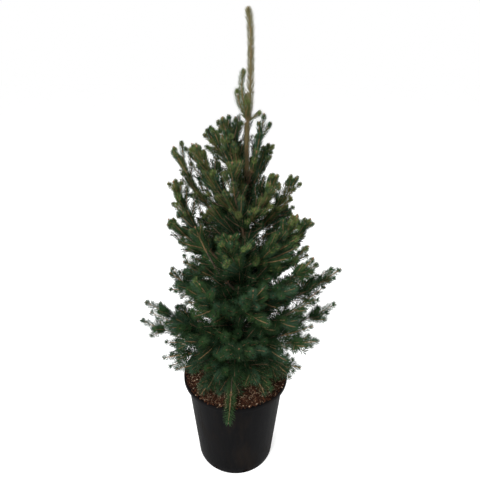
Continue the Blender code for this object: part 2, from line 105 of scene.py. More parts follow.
def trunkPoint(z):
    t = min(max((z - trunk["foot"]) / (trunk["leanEnd"] - trunk["foot"]), 0), 1)
    wander = trunk["wander"] * math.sin(trunk["waves"] * t) * t
    return Vector((trunk["lean"] * t * t * (3 - 2 * t), wander, z))


def trunkBeside(place):
    return trunkPoint(min(max(place.z, trunk["foot"]), trunk["top"]))


def distanceOut(place):
    centre = trunkBeside(place)
    return math.hypot(place.x - centre.x, place.y - centre.y)


# growth: how every limb and shoot runs
growth = {
    "year": 0.062,              # length of one year's growth
    "step": 0.010,              # spacing of the points along a shoot
    "sway": 0.006,
    "stagger": 0.014,           # neighbours in a whorl leave the trunk this far apart in height
    "steep": 1.2,               # a shoot that rises more than this for its reach is steep
    "upright": 0.2,             # a heading whose level part is less than this is taken as upright
    "perNode": (2, 2, 3),       # side shoots at a yearly node, one of these by chance
    "flatRolls": (0, 180, 265),     # their places round a flat shoot, in degrees
    "nodeDrift": 0.004,
    "nodeRoll": 25,
    "shootRoll": 18,
    "opening": {"flat": (40, 54), "steep": (30, 42), "close": (14, 27)},    # degrees from the parent
    "share": {"flat": (0.55, 0.78), "steep": (0.52, 0.86), "close": (0.42, 0.72)},  # of what it has left
    "least": 0.012,             # added to each side shoot's length
    "curl": 0.45,               # share of its opening that a shoot loses towards its tip
    "upturn": 0.10,
    "overhang": 0.004,          # how far a shoot may reach out beyond its limb's tip
}

# height on the trunk, bend of the limbs in degrees, and each limb's azimuth, reach and rise, with a
# bend of its own where it has one; the limbs named i stand between the whorls
whorls = {
    "w2": (0.780, 22, ((125, 0.042, 0.148), (172, 0.088, 0.124), (228, 0.066, 0.132),
                       (292, 0.050, 0.087), (345, 0.029, 0.130), (30, 0.058, 0.092))),
    "i1": (0.800, 22, ((203, 0.055, 0.133), (350, 0.036, 0.138))),
    "i2": (0.705, 24, ((206, 0.113, 0.174), (321, 0.082, 0.114))),
    "w3": (0.660, 26, ((188, 0.152, 0.213), (152, 0.138, 0.205), (2, 0.117, 0.140),
                       (253, 0.094, 0.193), (300, 0.098, 0.150), (75, 0.105, 0.165))),
    "w4": (0.555, 28, ((199, 0.152, 0.250), (168, 0.180, 0.135), (349, 0.157, 0.160),
                       (318, 0.149, 0.190), (260, 0.135, 0.160), (110, 0.152, 0.155),
                       (40, 0.155, 0.150))),
    "i4": (0.560, 26, ((176, 0.146, 0.093), (8, 0.147, 0.094), (164, 0.109, 0.182))),
    "i5": (0.520, 24, ((338, 0.162, 0.142), (132, 0.135, 0.120), (22, 0.145, 0.115),
                       (168, 0.144, 0.060), (223, 0.130, 0.197))),
    "w5": (0.455, 26, ((198, 0.165, 0.135), (150, 0.165, 0.120), (355, 0.244, 0.130),
                       (328, 0.187, 0.195), (282, 0.145, 0.140), (238, 0.155, 0.150),
                       (85, 0.172, 0.125))),
    "w6": (0.370, 18, ((193, 0.220, 0.140), (176, 0.247, 0.045), (0, 0.248, 0.105),
                       (338, 0.210, 0.050), (272, 0.160, 0.090), (228, 0.170, 0.085),
                       (125, 0.190, 0.085), (60, 0.190, 0.085))),
    "i6": (0.345, 4, ((97, 0.158, 0.050), (20, 0.165, 0.035), (345, 0.191, 0.097),
                      (199, 0.183, 0.059), (212, 0.169, 0.002))),
    "i7": (0.385, 20, ((256, 0.115, 0.072), (188, 0.212, 0.084), (344, 0.188, 0.133),
                       (352, 0.212, 0.157))),
    "w7": (0.310, -24, ((198, 0.190, 0.045), (338, 0.172, 0.020), (237, 0.148, -0.006, -70),
                        (300, 0.140, -0.012, -74), (140, 0.165, 0.015), (50, 0.160, 0.015))),
    "w8": (0.322, -78, ((264, 0.166, -0.070),)),
}

leader = {
    "bow": 0.0065,
    "collar": 0.004,            # height of the first point above its foot
    "sidesFrom": 0.008,
    "bend": 30,
    "girth": (0.0027, 0.0016),  # at the foot and at the tip
    "sideGirth": (0.0017, 0.0012),
    "sides": ((170, 0.021, 0.061), (200, 0.008, 0.098), (5, 0.029, 0.016),
              (265, 0.020, 0.042), (90, 0.022, 0.050)),
}


def limbPath(name, start, azimuth, reach, rise, bend):
    chord, tilt = math.hypot(reach, rise), math.atan2(rise, reach)
    half = math.radians(bend) / 2
    radius = chord / (2 * math.sin(half))
    count = max(4, round(2 * half * radius / growth["step"]))
    sway = growth["sway"] * jitter(random.Random(name), 1)
    turn = Matrix.Rotation(math.radians(azimuth), 3, "Z")
    points = []
    for k in range(count + 1):
        angle = half * (2 * k / count - 1)
        along = radius * (math.sin(angle) + math.sin(half))
        below = radius * (math.cos(angle) - math.cos(half))
        side = sway * math.sin(2 * math.pi * k / count)
        out = along * math.cos(tilt) + below * math.sin(tilt)
        rising = along * math.sin(tilt) - below * math.cos(tilt)
        points.append(start + turn @ Vector((out, side, rising)))
    return points


def pathLength(points):
    return sum((b - a).length for a, b in zip(points, points[1:]))


def pointOn(points, distance):
    for a, b in zip(points, points[1:]):
        piece = (b - a).length
        if distance <= piece:
            return a.lerp(b, max(distance, 0) / piece), (b - a).normalized()
        distance -= piece
    return points[-1].copy(), (points[-1] - points[-2]).normalized()


def sidePath(origin, heading, roll, opening, length, upturn=growth["upturn"]):
    across = heading.cross(up)
    if across.length < growth["upright"]:
        across = heading.cross(Vector((0, 1, 0)))
    across.normalize()
    above = across.cross(heading).normalized()
    outward = across * math.cos(roll) + above * math.sin(roll)
    count = max(2, round(length / growth["step"]))
    points = [origin.copy()]
    for k in range(count):
        angle = opening * (1 - growth["curl"] * (k + 0.5) / count)
        way = heading * math.cos(angle) + outward * math.sin(angle)
        way.z += upturn * k / count
        points.append(points[-1] + way.normalized() * (length / count))
    return points


def yearsOf(path):
    return max(2, round(pathLength(path) / growth["year"]))


def isSteep(path):
    way = path[-1] - path[0]
    return way.z > growth["steep"] * math.hypot(way.x, way.y)


def growSides(name, path, first, close=False):
    rng = random.Random(name)
    total, years, steep = pathLength(path), yearsOf(path), isSteep(path)
    habit = "close" if close else "steep" if steep else "flat"
    found = []
    for year in range(1, years):
        distance = total * year / years + jitter(rng, growth["nodeDrift"])
        count = rng.choice(growth["perNode"])
        baseRoll = jitter(rng, growth["nodeRoll"])
        for k in range(count):
            spread = 360 * k / count if steep else growth["flatRolls"][k]
            roll = math.radians(baseRoll + spread + jitter(rng, growth["shootRoll"]))
            opening = math.radians(rng.uniform(*growth["opening"][habit]))
            length = (total - distance) * rng.uniform(*growth["share"][habit]) + growth["least"]
            if distance >= first:
                found.append(sidePath(*pointOn(path, distance), roll, opening, length))
    return found


def allLimbs():
    found = []
    for whorl, (height, bend, rows) in whorls.items():
        order = sorted(range(len(rows)), key=lambda k: rows[k][0])
        for place, k in enumerate(order):
            azimuth, reach, rise, *own = rows[k]
            lift = (place % 3 - 1) * growth["stagger"]
            name = f"{whorl}_{k + 1}"
            foot = trunkPoint(height + lift)
            found.append((name, limbPath(name, foot, azimuth, reach, rise - lift, (own or [bend])[0])))
    return found


def leaderPaths():
    foot = trunkPoint(trunk["top"])
    height = trunk["treeTop"] - foot.z
    count = round(height / growth["step"])
    stem = []
    for k in range(count + 1):
        t = k / count
        stem.append(foot + Vector((leader["bow"] * (1 - (2 * t - 1) ** 4), 0, height * t)))
    stem.insert(1, foot + up * leader["collar"])
    root = foot + up * leader["sidesFrom"]
    return [stem] + [limbPath(f"leader_{k}", root, *row, leader["bend"])
                     for k, row in enumerate(leader["sides"])]


def potDistance(place):
    out = math.hypot(place.x, place.y)
    if out < potHigh.x:
        return place.z - soilHigh.z
    if place.z > potHigh.z:
        return math.hypot(out - potHigh.x, place.z - potHigh.z)
    return out - potHigh.x


# room: the space that each limb's shoots keep to, between the other limbs, the trunk and the pot
def roomFinder(limbs):
    points, owners = [], []
    for name, path in limbs:
        points += path + [a.lerp(b, 0.5) for a, b in zip(path, path[1:])]
        owners += [name] * (2 * len(path) - 1)
    points, owners = np.array([tuple(point) for point in points]), np.array(owners)

    def room(name, place):
        distances = np.linalg.norm(points - np.array(tuple(place)), axis=1)
        own = owners == name
        beside = trunkBeside(place)
        return min((distances[~own].min() - distances[own].min()) / 2,
                   (place - beside).length - trunkRadius(beside.z), potDistance(place))

    return room


# shoots: every woody axis with its girth, age, kind and limb
shoots = []


def addShoot(path, girth, age, kind, limb):
    shoots.append({"path": path, "girth": girth, "age": age, "kind": kind, "limb": limb})


def trimmed(path, hasRoom, margin, least):
    kept = path[:1]
    for point in path[1:]:
        if hasRoom(point) < margin:
            break
        kept.append(point)
    return kept if pathLength(kept) > least else None


# whole whorls and single limbs that grow in a way of their own
habits = {
    "upper": ("i1", "w2", "i2", "w3", "w4"),
    "open": ("i1", "w2", "i2", "w3"),
    "slim": ("i4", "i6", "i7", "w3_6", "w6_1", "w6_2", "w6_3", "w8_1"),
    "bare": ("i1_2", "w2_4", "w2_5", "i5_5"),
    "hanging": ("w7_3", "w7_4"),
    "sprig": ("w8_1",),
}

finer = {
    "girth": (0.0015, 0.0068, 0.0011),      # at the foot, more for each metre of limb, and at the tip
    "slimGirth": (0.0012, 0.0048, 0.0009),
    "sideGirth": (0.0010, 0.005, 0.0009),
    "firstNode": 0.012,         # how far before its first yearly node a limb may bear side shoots
    "moreFrom": 0.4,            # the added ones start at this share of the way to the first node
    "moreShare": 0.6,           # and on the lower limbs they keep this share of their length
    "slimShare": 0.85,          # as the side shoots of slim limbs keep this one
    "openShare": 0.55,          # share of an open whorl's limb that bears side shoots
    "sprigClean": 0.085,        # how far out the sprig still has side shoots
    "leastPoints": 3,
    "sideMargin": 0.001,        # room that a side shoot keeps to its neighbours
    "leastSide": 0.022,
    "longSide": 0.050,          # a side shoot longer than this may end in a cluster
    "clusterEvery": 3,
    "sprayFrom": 0.012,         # small shoots start this far out on a side shoot
    "outerFrom": 0.6,           # on a limb the outer ones start at this share of the way to its first node
    "innerFrom": 0.018,
    "clean": 0.050,             # last length of a limb that has needles only
    "lowerClean": 0.032,
    "upperFill": 0.44,          # share of an upper or slim limb that bears small side twigs
    "slimFill": 0.5,            # and share of a slim one that bears inner shoots
    "innerInset": 0.032,        # how far inside their limb's reach the inner shoots end
}

# small shoots along a longer one: kind, spacing, length, degrees that they open, and their margin to
# a neighbour, which is less than nothing where they may reach into its room
smallShoots = {
    "spray": ("twig", (0.014, 0.022), (0.028, 0.046), (36, 60), -0.004),
    "lowerOuter": ("twig", (0.014, 0.022), (0.034, 0.058), (36, 60), -0.004),
    "upperOuter": ("twig", (0.016, 0.026), (0.050, 0.085), (18, 36), -0.010),
    "lowerInner": ("inner", (0.009, 0.015), (0.035, 0.065), (36, 60), -0.018),
    "upperInner": ("inner", (0.009, 0.015), (0.045, 0.095), (36, 60), -0.018),
}
small = {"roll": 40, "taper": 0.35, "least": 0.014, "girth": (0.0010, 0.0008)}

# short shoots that stand round the end of a longer one
cluster = {
    "bare": 2,                  # how many, by the kind of limb
    "open": 3,
    "upper": 4,
    "side": 2,
    "openSize": 1.8,
    "back": (0.016, 0.030),     # distance of their foot from the tip
    "roll": 0.4,
    "opening": (24, 44),
    "length": (0.70, 1.25),     # as a share of that distance
    "upturn": 0.2,
    "margin": -0.012,
    "least": 0.008,
    "girth": (0.0011, 0.0009),
}

# shoots that fill the crown's inside round the trunk
trunkShoots = {
    "from": 0.035,              # first height above the mulch
    "to": 0.79,
    "gap": (0.0015, 0.0029),
    "reach": ((0.30, 0.140), (0.55, 0.150), (0.70, 0.095), (0.80, 0.030)),
    "share": (0.4, 1.0),
    "rise": (0.3, 1.4),
    "steepFrom": 0.5,           # above this height they rise more
    "steeper": 1.25,
    "roll": (0, 6),
    "opening": 0.2,
    "potClear": 0.01,
    "girth": (0.0013, 0.0009),
}


def smallShootsAlong(seed, path, start, end, row, hasRoom, limb):
    kind, gap, lengths, openings, margin = smallShoots[row]
    rng = random.Random(seed)
    total, steep = pathLength(path), isSteep(path)
    distance, hand = start, rng.choice((0, 180))
    while distance < end:
        roll = rng.uniform(0, 360) if steep else hand + jitter(rng, small["roll"])
        hand = 180 - hand
        opening = math.radians(rng.uniform(*openings))
        length = rng.uniform(*lengths) * (1 - small["taper"] * distance / total)
        twig = sidePath(*pointOn(path, distance), math.radians(roll), opening, length)
        twig = trimmed(twig, hasRoom, margin, small["least"])
        if twig:
            addShoot(twig, small["girth"], 1, kind, limb)
        distance += rng.uniform(*gap)


def clusterAtTip(seed, path, count, hasRoom, limb, size=1):
    rng = random.Random(seed)
    back = rng.uniform(*cluster["back"]) * size
    origin, heading = pointOn(path, pathLength(path) - back)
    firstRoll = rng.uniform(0, 2 * math.pi)
    for k in range(count):
        roll = firstRoll + 2 * math.pi * k / count + jitter(rng, cluster["roll"])
        opening = math.radians(rng.uniform(*cluster["opening"]))
        length = back * rng.uniform(*cluster["length"])
        twig = sidePath(origin, heading, roll, opening, length, cluster["upturn"])
        twig = trimmed(twig, hasRoom, cluster["margin"], cluster["least"])
        if twig:
            addShoot(twig, cluster["girth"], 1, "tip", limb)


# the upper limbs are long clean shoots with a few short ones at their ends, and the lower ones
# branch into flat sprays
def growLimb(name, path, room):
    farthest = distanceOut(path[-1]) + growth["overhang"]

    def roomWithin(inset):
        return lambda place: min(room(name, place), farthest - inset - distanceOut(place))

    hasRoom = roomWithin(0)
    upper, isOpen, slim, bare, hanging, sprig = (name in those or name[:2] in those
                                                 for those in habits.values())
    total, years = pathLength(path), yearsOf(path)
    foot, perMetre, tip = finer["slimGirth" if slim else "girth"]
    addShoot(path, (foot + perMetre * total, tip), years, "limb", name)
    if upper or bare:
        count = cluster["bare" if bare else "open" if isOpen else "upper"]
        clusterAtTip(name + "tip", path, count, hasRoom, name, cluster["openSize"] if isOpen else 1)
    if bare:
        return

    def shortened(sides, share):
        return [side[:max(finer["leastPoints"], int(len(side) * share))] for side in sides]

    first = total / years - finer["firstNode"]
    sides = growSides(name, path, first, hanging)
    if slim:
        sides = shortened(sides, finer["slimShare"])
    if isOpen:
        sides = [side for side in sides if (side[0] - path[0]).length < finer["openShare"] * total]
    if sprig:
        sides = [side for side in sides if distanceOut(side[0]) < finer["sprigClean"]]
    for more in range(0 if sprig else 1 if slim or isOpen else 2):
        added = growSides(f"{name}more{more}", path, first * finer["moreFrom"], upper or hanging)
        sides += shortened(added, 1 if upper else finer["moreShare"])
    for number, side in enumerate(sides):
        side = trimmed(side, hasRoom, finer["sideMargin"], finer["leastSide"])
        if not side:
            continue
        length = pathLength(side)
        foot, perMetre, tip = finer["sideGirth"]
        age = max(1, round(length / growth["year"]))
        addShoot(side, (foot + perMetre * length, tip), age, "side", name)
        if upper and length > finer["longSide"] and number % finer["clusterEvery"] == 0:
            clusterAtTip(f"{name}{number}tip", side, cluster["side"], hasRoom, name)
        if not upper and not sprig:
            smallShootsAlong(f"{name}{number}bud", side, finer["sprayFrom"], length - finer["lowerClean"],
                             "spray", hasRoom, name)
    level = "upper" if upper else "lower"
    if not sprig:
        outerEnd = total * finer["upperFill"] if upper or slim else total - finer["lowerClean"]
        smallShootsAlong(name + "outer", path, finer["outerFrom"] * first, outerEnd, level + "Outer",
                         hasRoom, name)
    innerEnd = total * finer["slimFill"] if slim else total - finer["clean"]
    smallShootsAlong(name + "inner", path, finer["innerFrom"], innerEnd, level + "Inner",
                     roomWithin(finer["innerInset"]), name)


def growRoundTrunk():
    rng = random.Random("trunk shoots")
    z = trunk["foot"] + trunkShoots["from"]
    while z < trunkShoots["to"]:
        heading = Matrix.Rotation(rng.uniform(0, 2 * math.pi), 3, "Z") @ Vector((1, 0, 0))
        length = rng.uniform(*trunkShoots["share"]) * tableAt(trunkShoots["reach"], z)
        rise = up * rng.uniform(*trunkShoots["rise"])
        if z > trunkShoots["steepFrom"]:
            rise *= trunkShoots["steeper"]
        way = (heading + rise).normalized()
        roll = rng.uniform(*trunkShoots["roll"])
        path = sidePath(trunkPoint(z), way, roll, trunkShoots["opening"], length)
        if potDistance(path[-1]) > trunkShoots["potClear"]:
            addShoot(path, trunkShoots["girth"], 1, "inner", "trunk")
        z += rng.uniform(*trunkShoots["gap"])
    heights = np.linspace(trunk["needlesFrom"], trunk["top"], trunk["needlePoints"])
    girth = (trunkRadius(trunk["needlesFrom"]), trunkRadius(trunk["top"]))
    addShoot([trunkPoint(z) for z in heights], girth, 1, "trunk", "trunk")


def growTree():
    leaders, limbs = leaderPaths(), allLimbs()
    room = roomFinder([("leader", path) for path in leaders] + limbs)
    addShoot(leaders[0], leader["girth"], 1, "leader", "leader")
    for path in leaders[1:]:
        addShoot(path, leader["sideGirth"], 1, "side", "leader")
    for name, path in limbs:
        growLimb(name, path, room)
    growRoundTrunk()


growTree()
print("shoots grown:", len(shoots), "of", round(sum(pathLength(s["path"]) for s in shoots), 1), "m")


# node trees
# a setting goes into the node's socket of that name, or else it is a property of the node
def add(tree, kind, **settings):
    node = tree.nodes.new(kind)
    for name, value in settings.items():
        if name in node.inputs:
            node.inputs[name].default_value = value
        else:
            setattr(node, name, value)
    return node


# each link is a node, its output, the next node and that one's input
def joinUp(tree, *links):
    for source, output, target, entry in links:
        tree.links.new(source.outputs[output], target.inputs[entry])


# the shape runs through these nodes in turn
def flow(tree, *nodes):
    joinUp(tree, *[(source, 0, target, 0) for source, target in zip(nodes, nodes[1:])])


def newTree(name, kind, inputs, outputs):
    tree = bpy.data.node_groups.new(name, kind)
    for way, rows in (("INPUT", inputs), ("OUTPUT", outputs)):
        for label, form in rows:
            tree.interface.new_socket(label, in_out=way, socket_type="NodeSocket" + form)
    return tree, tree.nodes.new("NodeGroupInput"), tree.nodes.new("NodeGroupOutput")


def geometryTree(name, *inputs):
    shape = ("Geometry", "Geometry")
    return newTree(name, "GeometryNodeTree", (shape, *inputs), (shape,))


def named(tree, label, kind):
    return add(tree, "GeometryNodeInputNamedAttribute", data_type=kind, Name=label)


# each face gets the material whose number its attribute holds
def paintBy(tree, label, mats, last, end):
    for number, mat in enumerate(mats):
        paint = add(tree, "GeometryNodeSetMaterial", Material=mat)
        if number:
            same = add(tree, "FunctionNodeCompare", data_type="INT", operation="EQUAL", B=number)
            joinUp(tree, (named(tree, label, "INT"), "Attribute", same, "A"),
                   (same, "Result", paint, "Selection"))
        flow(tree, last, paint)
        last = paint
    flow(tree, last, end)


def newPiece(name, mesh):
    piece = bpy.data.objects.new(name, mesh)
    bpy.context.scene.collection.objects.link(piece)
    return piece


def applied(piece):
    bpy.context.view_layer.update()
    depsgraph = bpy.context.evaluated_depsgraph_get()
    mesh = bpy.data.meshes.new_from_object(piece.evaluated_get(depsgraph), depsgraph=depsgraph)
    mesh.name = piece.name
    piece.modifiers.clear()
    piece.data = mesh
    return piece


def runTree(piece, tree, values):
    modifier = piece.modifiers.new(tree.name, "NODES")
    modifier.node_group = tree
    for item in tree.interface.items_tree:
        if item.in_out == "INPUT" and item.name in values:
            modifier[item.identifier] = values[item.name]
    return applied(piece)


def meshOf(name, bm, mat=None):
    mesh = bpy.data.meshes.new(name)
    bm.to_mesh(mesh)
    bm.free()
    if mat:
        mesh.materials.append(mat)
    return mesh


def dress(piece, slotName, *nodes):
    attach(piece, "root")
    if nodes:
        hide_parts(*nodes)
    return piece


# materials
def newMaterial(name, colour, roughness, specular):
    mat = bpy.data.materials.new(name)
    mat.use_nodes = True
    shader = mat.node_tree.nodes["Principled BSDF"]
    shader.inputs["Base Color"].default_value = (*colour, 1)
    shader.inputs["Roughness"].default_value = roughness
    shader.inputs["Specular IOR Level"].default_value = specular
    mat.diffuse_color = (*colour, 1)
    return mat, mat.node_tree, shader


def mottleTree():
    tree, start, end = newTree("mottle", "ShaderNodeTree", (
        ("Dark", "Color"), ("Light", "Color"), ("Scale", "Float"), ("Stretch", "Vector"),
        ("From", "Float"), ("To", "Float")), (("Colour", "Color"), ("Mask", "Float")))
    place = add(tree, "ShaderNodeTexCoord")
    stretched = add(tree, "ShaderNodeVectorMath", operation="MULTIPLY")
    cloud = add(tree, "ShaderNodeTexNoise", Detail=5.0, Roughness=0.62)
    level = add(tree, "ShaderNodeMapRange")
    mix = add(tree, "ShaderNodeMix", data_type="RGBA")
    joinUp(tree, (place, "Object", stretched, 0), (start, "Stretch", stretched, 1),
           (stretched, "Vector", cloud, "Vector"), (start, "Scale", cloud, "Scale"),
           (cloud, "Fac", level, "Value"), (start, "From", level, "From Min"),
           (start, "To", level, "From Max"), (level, "Result", mix, "Factor"),
           (start, "Dark", mix, "A"), (start, "Light", mix, "B"),
           (mix, "Result", end, "Colour"), (level, "Result", end, "Mask"))
    return tree


mottle = mottleTree()
black, white = (0, 0, 0), (1, 1, 1)


def placeMottle(tree, dark, light, scale, stretch=(1, 1, 1), spread=(0.35, 0.65)):
    return add(tree, "ShaderNodeGroup", node_tree=mottle, Dark=(*dark, 1), Light=(*light, 1), Scale=scale,
               Stretch=stretch, From=spread[0], To=spread[1])


def addBump(tree, source, output, shader, distance, strength=1.0):
    bump = add(tree, "ShaderNodeBump", Distance=distance, Strength=strength)
    joinUp(tree, (source, output, bump, "Height"), (bump, "Normal", shader, "Normal"))


# a mask from 0 to 1 is spread over a range of its own on the way to the socket it drives
def ranged(tree, source, output, limits, target, entry):
    spread = add(tree, "ShaderNodeMapRange", **{"To Min": limits[0], "To Max": limits[1]})
    joinUp(tree, (source, output, spread, "Value"), (spread, "Result", target, entry))


def mottledMaterial(name, dark, light, scale, stretch, relief, roughness, specular):
    mat, tree, shader = newMaterial(name, light, roughness[1], specular)
    group = placeMottle(tree, dark, light, scale, stretch)
    joinUp(tree, (group, "Colour", shader, "Base Color"))
    ranged(tree, group, "Mask", roughness, shader, "Roughness")
    addBump(tree, group, "Mask", shader, relief)
    return mat


# dark and light colour, scale and stretch of the mottling, its relief, roughness and gloss
finishes = {
    "ridgedBark": ((0.050, 0.034, 0.024), (0.200, 0.150, 0.110), 190, (1, 1, 0.3), 0.0012, (0.8, 0.95), 0.3),
    "oldTwig": ((0.085, 0.050, 0.030), (0.230, 0.150, 0.085), 320, (1, 1, 0.6), 0.0006, (0.70, 0.90), 0.3),
    "youngTwig": ((0.190, 0.112, 0.050), (0.370, 0.240, 0.112), 420, (1, 1, 0.6), 0.0004, (0.50, 0.75), 0.3),
    "budScale": ((0.150, 0.060, 0.030), (0.420, 0.230, 0.140), 900, (1, 1, 0.5), 0.0004, (0.45, 0.70), 0.3),
    "mulchBed": ((0.006, 0.003, 0.002), (0.040, 0.017, 0.009), 330, (1, 1, 1), 0.0016, (0.85, 0.98), 0.05),
    "mulchDark": ((0.012, 0.005, 0.003), (0.056, 0.023, 0.012), 260, (1, 1, 1), 0.0006, (0.75, 0.95), 0.08),
    "mulchRed": ((0.036, 0.013, 0.007), (0.115, 0.046, 0.024), 260, (1, 1, 1), 0.0006, (0.75, 0.95), 0.08),
    "mulchPale": ((0.210, 0.130, 0.075), (0.500, 0.380, 0.270), 300, (1, 1, 1), 0.0004, (0.65, 0.85), 0.3),
    "mulchFibre": ((0.130, 0.075, 0.042), (0.420, 0.300, 0.190), 240, (1, 1, 1), 0.0003, (0.65, 0.85), 0.3),
}
finish = {name: mottledMaterial(name, *row) for name, row in finishes.items()}

# the darkest tone is painted shade, a near-black green far darker than the needles' own colour
needleTones = {
    "deep": (0.012, 0.032, 0.011),
    "blue": (0.033, 0.073, 0.038),
    "mid": (0.030, 0.068, 0.022),
    "olive": (0.090, 0.114, 0.038),
    "fresh": (0.140, 0.185, 0.056),
    "pale": (0.185, 0.170, 0.085),
}
needleFinish = {"roughness": (0.42, 0.66), "specular": 0.12, "scale": 420.0, "relief": 0.0002}


def needleMaterial(tone, colour):
    mat, tree, shader = newMaterial("needleGreen_" + tone, colour, 0.5, needleFinish["specular"])
    group = placeMottle(tree, black, white, needleFinish["scale"])
    ranged(tree, group, "Mask", needleFinish["roughness"], shader, "Roughness")
    addBump(tree, group, "Mask", shader, needleFinish["relief"])
    return mat


needleMats = [needleMaterial(tone, colour) for tone, colour in needleTones.items()]
toneIndex = {tone: k for k, tone in enumerate(needleTones)}


# pot: a turned shell with drain notches round its foot
pot = {
    "rim": potHigh.x,           # outer edge of the flange
    "height": potHigh.z,
    "wallTop": 0.131,           # outside of the wall under the flange
    "foot": 0.1045,
    "wall": 0.0020,
    "floor": 0.003,
    "floorRound": 0.003,
    "drop": 0.011,              # height of the turned-down lip
    "rimRound": 0.0016,
    "lipRound": 0.0009,
    "footRound": 0.004,
    "neck": (0.0004, 0.003),    # where the inside's straight wall ends: in from the rim, and down
    "clear": (0.001, 0.003),    # where the outside's ends: above the foot's round, and under the flange
    "rings": 12,
    "turns": 144,
    "sharp": 32,
    "drains": 8,
    "drainPhase": 15,
    "drainSize": (0.030, 0.014, 0.007),
    "drainLift": 0.9,           # height of a notch's middle above the floor, in notch heights
    "drainRound": 0.0016,
}
plastic = {
    "colour": (0.004, 0.004, 0.005),
    "specular": 0.025,
    "streaks": ((0.0024, 0.0024, 0.0029), (0.0048, 0.0046, 0.0050), 60.0, (1, 1, 0.10), (0.30, 0.72)),
    "dust": (black, white, 26.0, (1, 1, 0.35), (0.48, 0.86)),
    "dustColour": (0.024, 0.017, 0.012, 1),
    "dustShare": (0.0, 0.55),
    "roughness": (0.46, 0.72),
    "grain": (black, white, 900.0),
    "grainShare": 0.12,
    "relief": 0.0006,
    "reliefStrength": 0.6,
}


def wallRadius(z):
    return pot["foot"] + (pot["wallTop"] - pot["foot"]) * z / pot["height"]


def arc(x, z, radius, fromAngle, toAngle, count=5):
    angles = [math.radians(a) for a in np.linspace(fromAngle, toAngle, count)]
    return [(x + radius * math.cos(a), z + radius * math.sin(a)) for a in angles]


def turnedMesh(name, profile, turns):
    mesh = bpy.data.meshes.new(name)
    edges = [(k, k + 1) for k in range(len(profile) - 1)]
    mesh.from_pydata([(x, 0, z) for x, z in profile], edges, [])
    piece = newPiece(name, mesh)
    screw = piece.modifiers.new("turn", "SCREW")
    screw.steps = screw.render_steps = turns
    screw.use_merge_vertices = True
    screw.merge_threshold = mergeWithin
    return applied(piece)


def turnOut(mesh):
    bm = bmesh.new()
    bm.from_mesh(mesh)
    bmesh.ops.recalc_face_normals(bm, faces=bm.faces)
    bm.to_mesh(mesh)
    bm.free()


def smoothed(mesh, degrees):
    mesh.shade_smooth()
    mesh.set_sharp_from_angle(angle=math.radians(degrees))


def plasticMaterial():
    mat, tree, shader = newMaterial("potPlastic", plastic["colour"], 0.6, plastic["specular"])
    streaks, dust, grain = (placeMottle(tree, *plastic[kind]) for kind in ("streaks", "dust", "grain"))
    dusty = add(tree, "ShaderNodeMix", data_type="RGBA", B=plastic["dustColour"])
    relief = add(tree, "ShaderNodeMath", operation="MULTIPLY_ADD")
    relief.inputs[1].default_value = plastic["grainShare"]
    joinUp(tree, (streaks, "Colour", dusty, "A"), (dusty, "Result", shader, "Base Color"),
           (grain, "Mask", relief, 0), (streaks, "Mask", relief, 2))
    ranged(tree, dust, "Mask", plastic["dustShare"], dusty, "Factor")
    ranged(tree, dust, "Mask", plastic["roughness"], shader, "Roughness")
    addBump(tree, relief, 0, shader, plastic["relief"], plastic["reliefStrength"])
    return mat


def drainCutters():
    cutters = bmesh.new()
    for k in range(pot["drains"]):
        turn = Matrix.Rotation(math.radians(pot["drainPhase"] + 360 * k / pot["drains"]), 4, "Z")
        height = pot["floor"] + pot["drainSize"][2] * pot["drainLift"]
        place = turn @ Matrix.Translation((pot["foot"], 0, height))
        cube = bmesh.ops.create_cube(cutters, size=1, matrix=place @ Matrix.Diagonal((*pot["drainSize"], 1)))
        edges = list(dict.fromkeys(edge for vert in cube["verts"] for edge in vert.link_edges))
        bmesh.ops.bevel(cutters, geom=edges, offset=pot["drainRound"], segments=2, affect="EDGES")
    return newPiece("drainCutters", meshOf("drainCutters", cutters))


def makePot():
    top, rim, wall, floor = pot["height"], pot["rim"], pot["wall"], pot["floor"]
    rimRound, lipRound, footRound, floorRound = (pot[part + "Round"]
                                                 for part in ("rim", "lip", "foot", "floor"))
    lip, under, inside = top - pot["drop"], top - wall, pot["wallTop"] - wall
    inner = wallRadius(0) - wall
    profile = [(0, floor), (inner - footRound, floor)]
    profile += arc(inner - floorRound, floor + floorRound, floorRound, -90, 0)
    profile += [(inside - pot["neck"][0], top - pot["neck"][1])]
    profile += arc(inside + rimRound, top - rimRound, rimRound, 180, 90)
    profile += arc(rim - rimRound, top - rimRound, rimRound, 90, 0)
    profile += arc(rim - lipRound, lip + lipRound, lipRound, 0, -180)
    profile += arc(rim - wall - lipRound, under - lipRound, lipRound, 0, 90)
    profile += arc(wallRadius(under) + lipRound, under - lipRound, lipRound, 90, 180)
    heights = np.linspace(under - pot["clear"][1], footRound + pot["clear"][0], pot["rings"])
    profile += [(wallRadius(z), z) for z in heights]
    profile += arc(wallRadius(0) - footRound, footRound, footRound, 0, -90)
    profile += [(0, 0)]
    piece = turnedMesh("potShell", profile, pot["turns"])
    turnOut(piece.data)
    cutter = drainCutters()
    cut = piece.modifiers.new("drains", "BOOLEAN")
    cut.operation, cut.solver, cut.object = "DIFFERENCE", "EXACT", cutter
    applied(piece)
    bpy.data.objects.remove(cutter)
    smoothed(piece.data, pot["sharp"])
    piece.data.materials.clear()
    piece.data.materials.append(plasticMaterial())
    print("pot:", len(piece.data.polygons), "faces")
    dress(piece, "black_plastic", "pot")


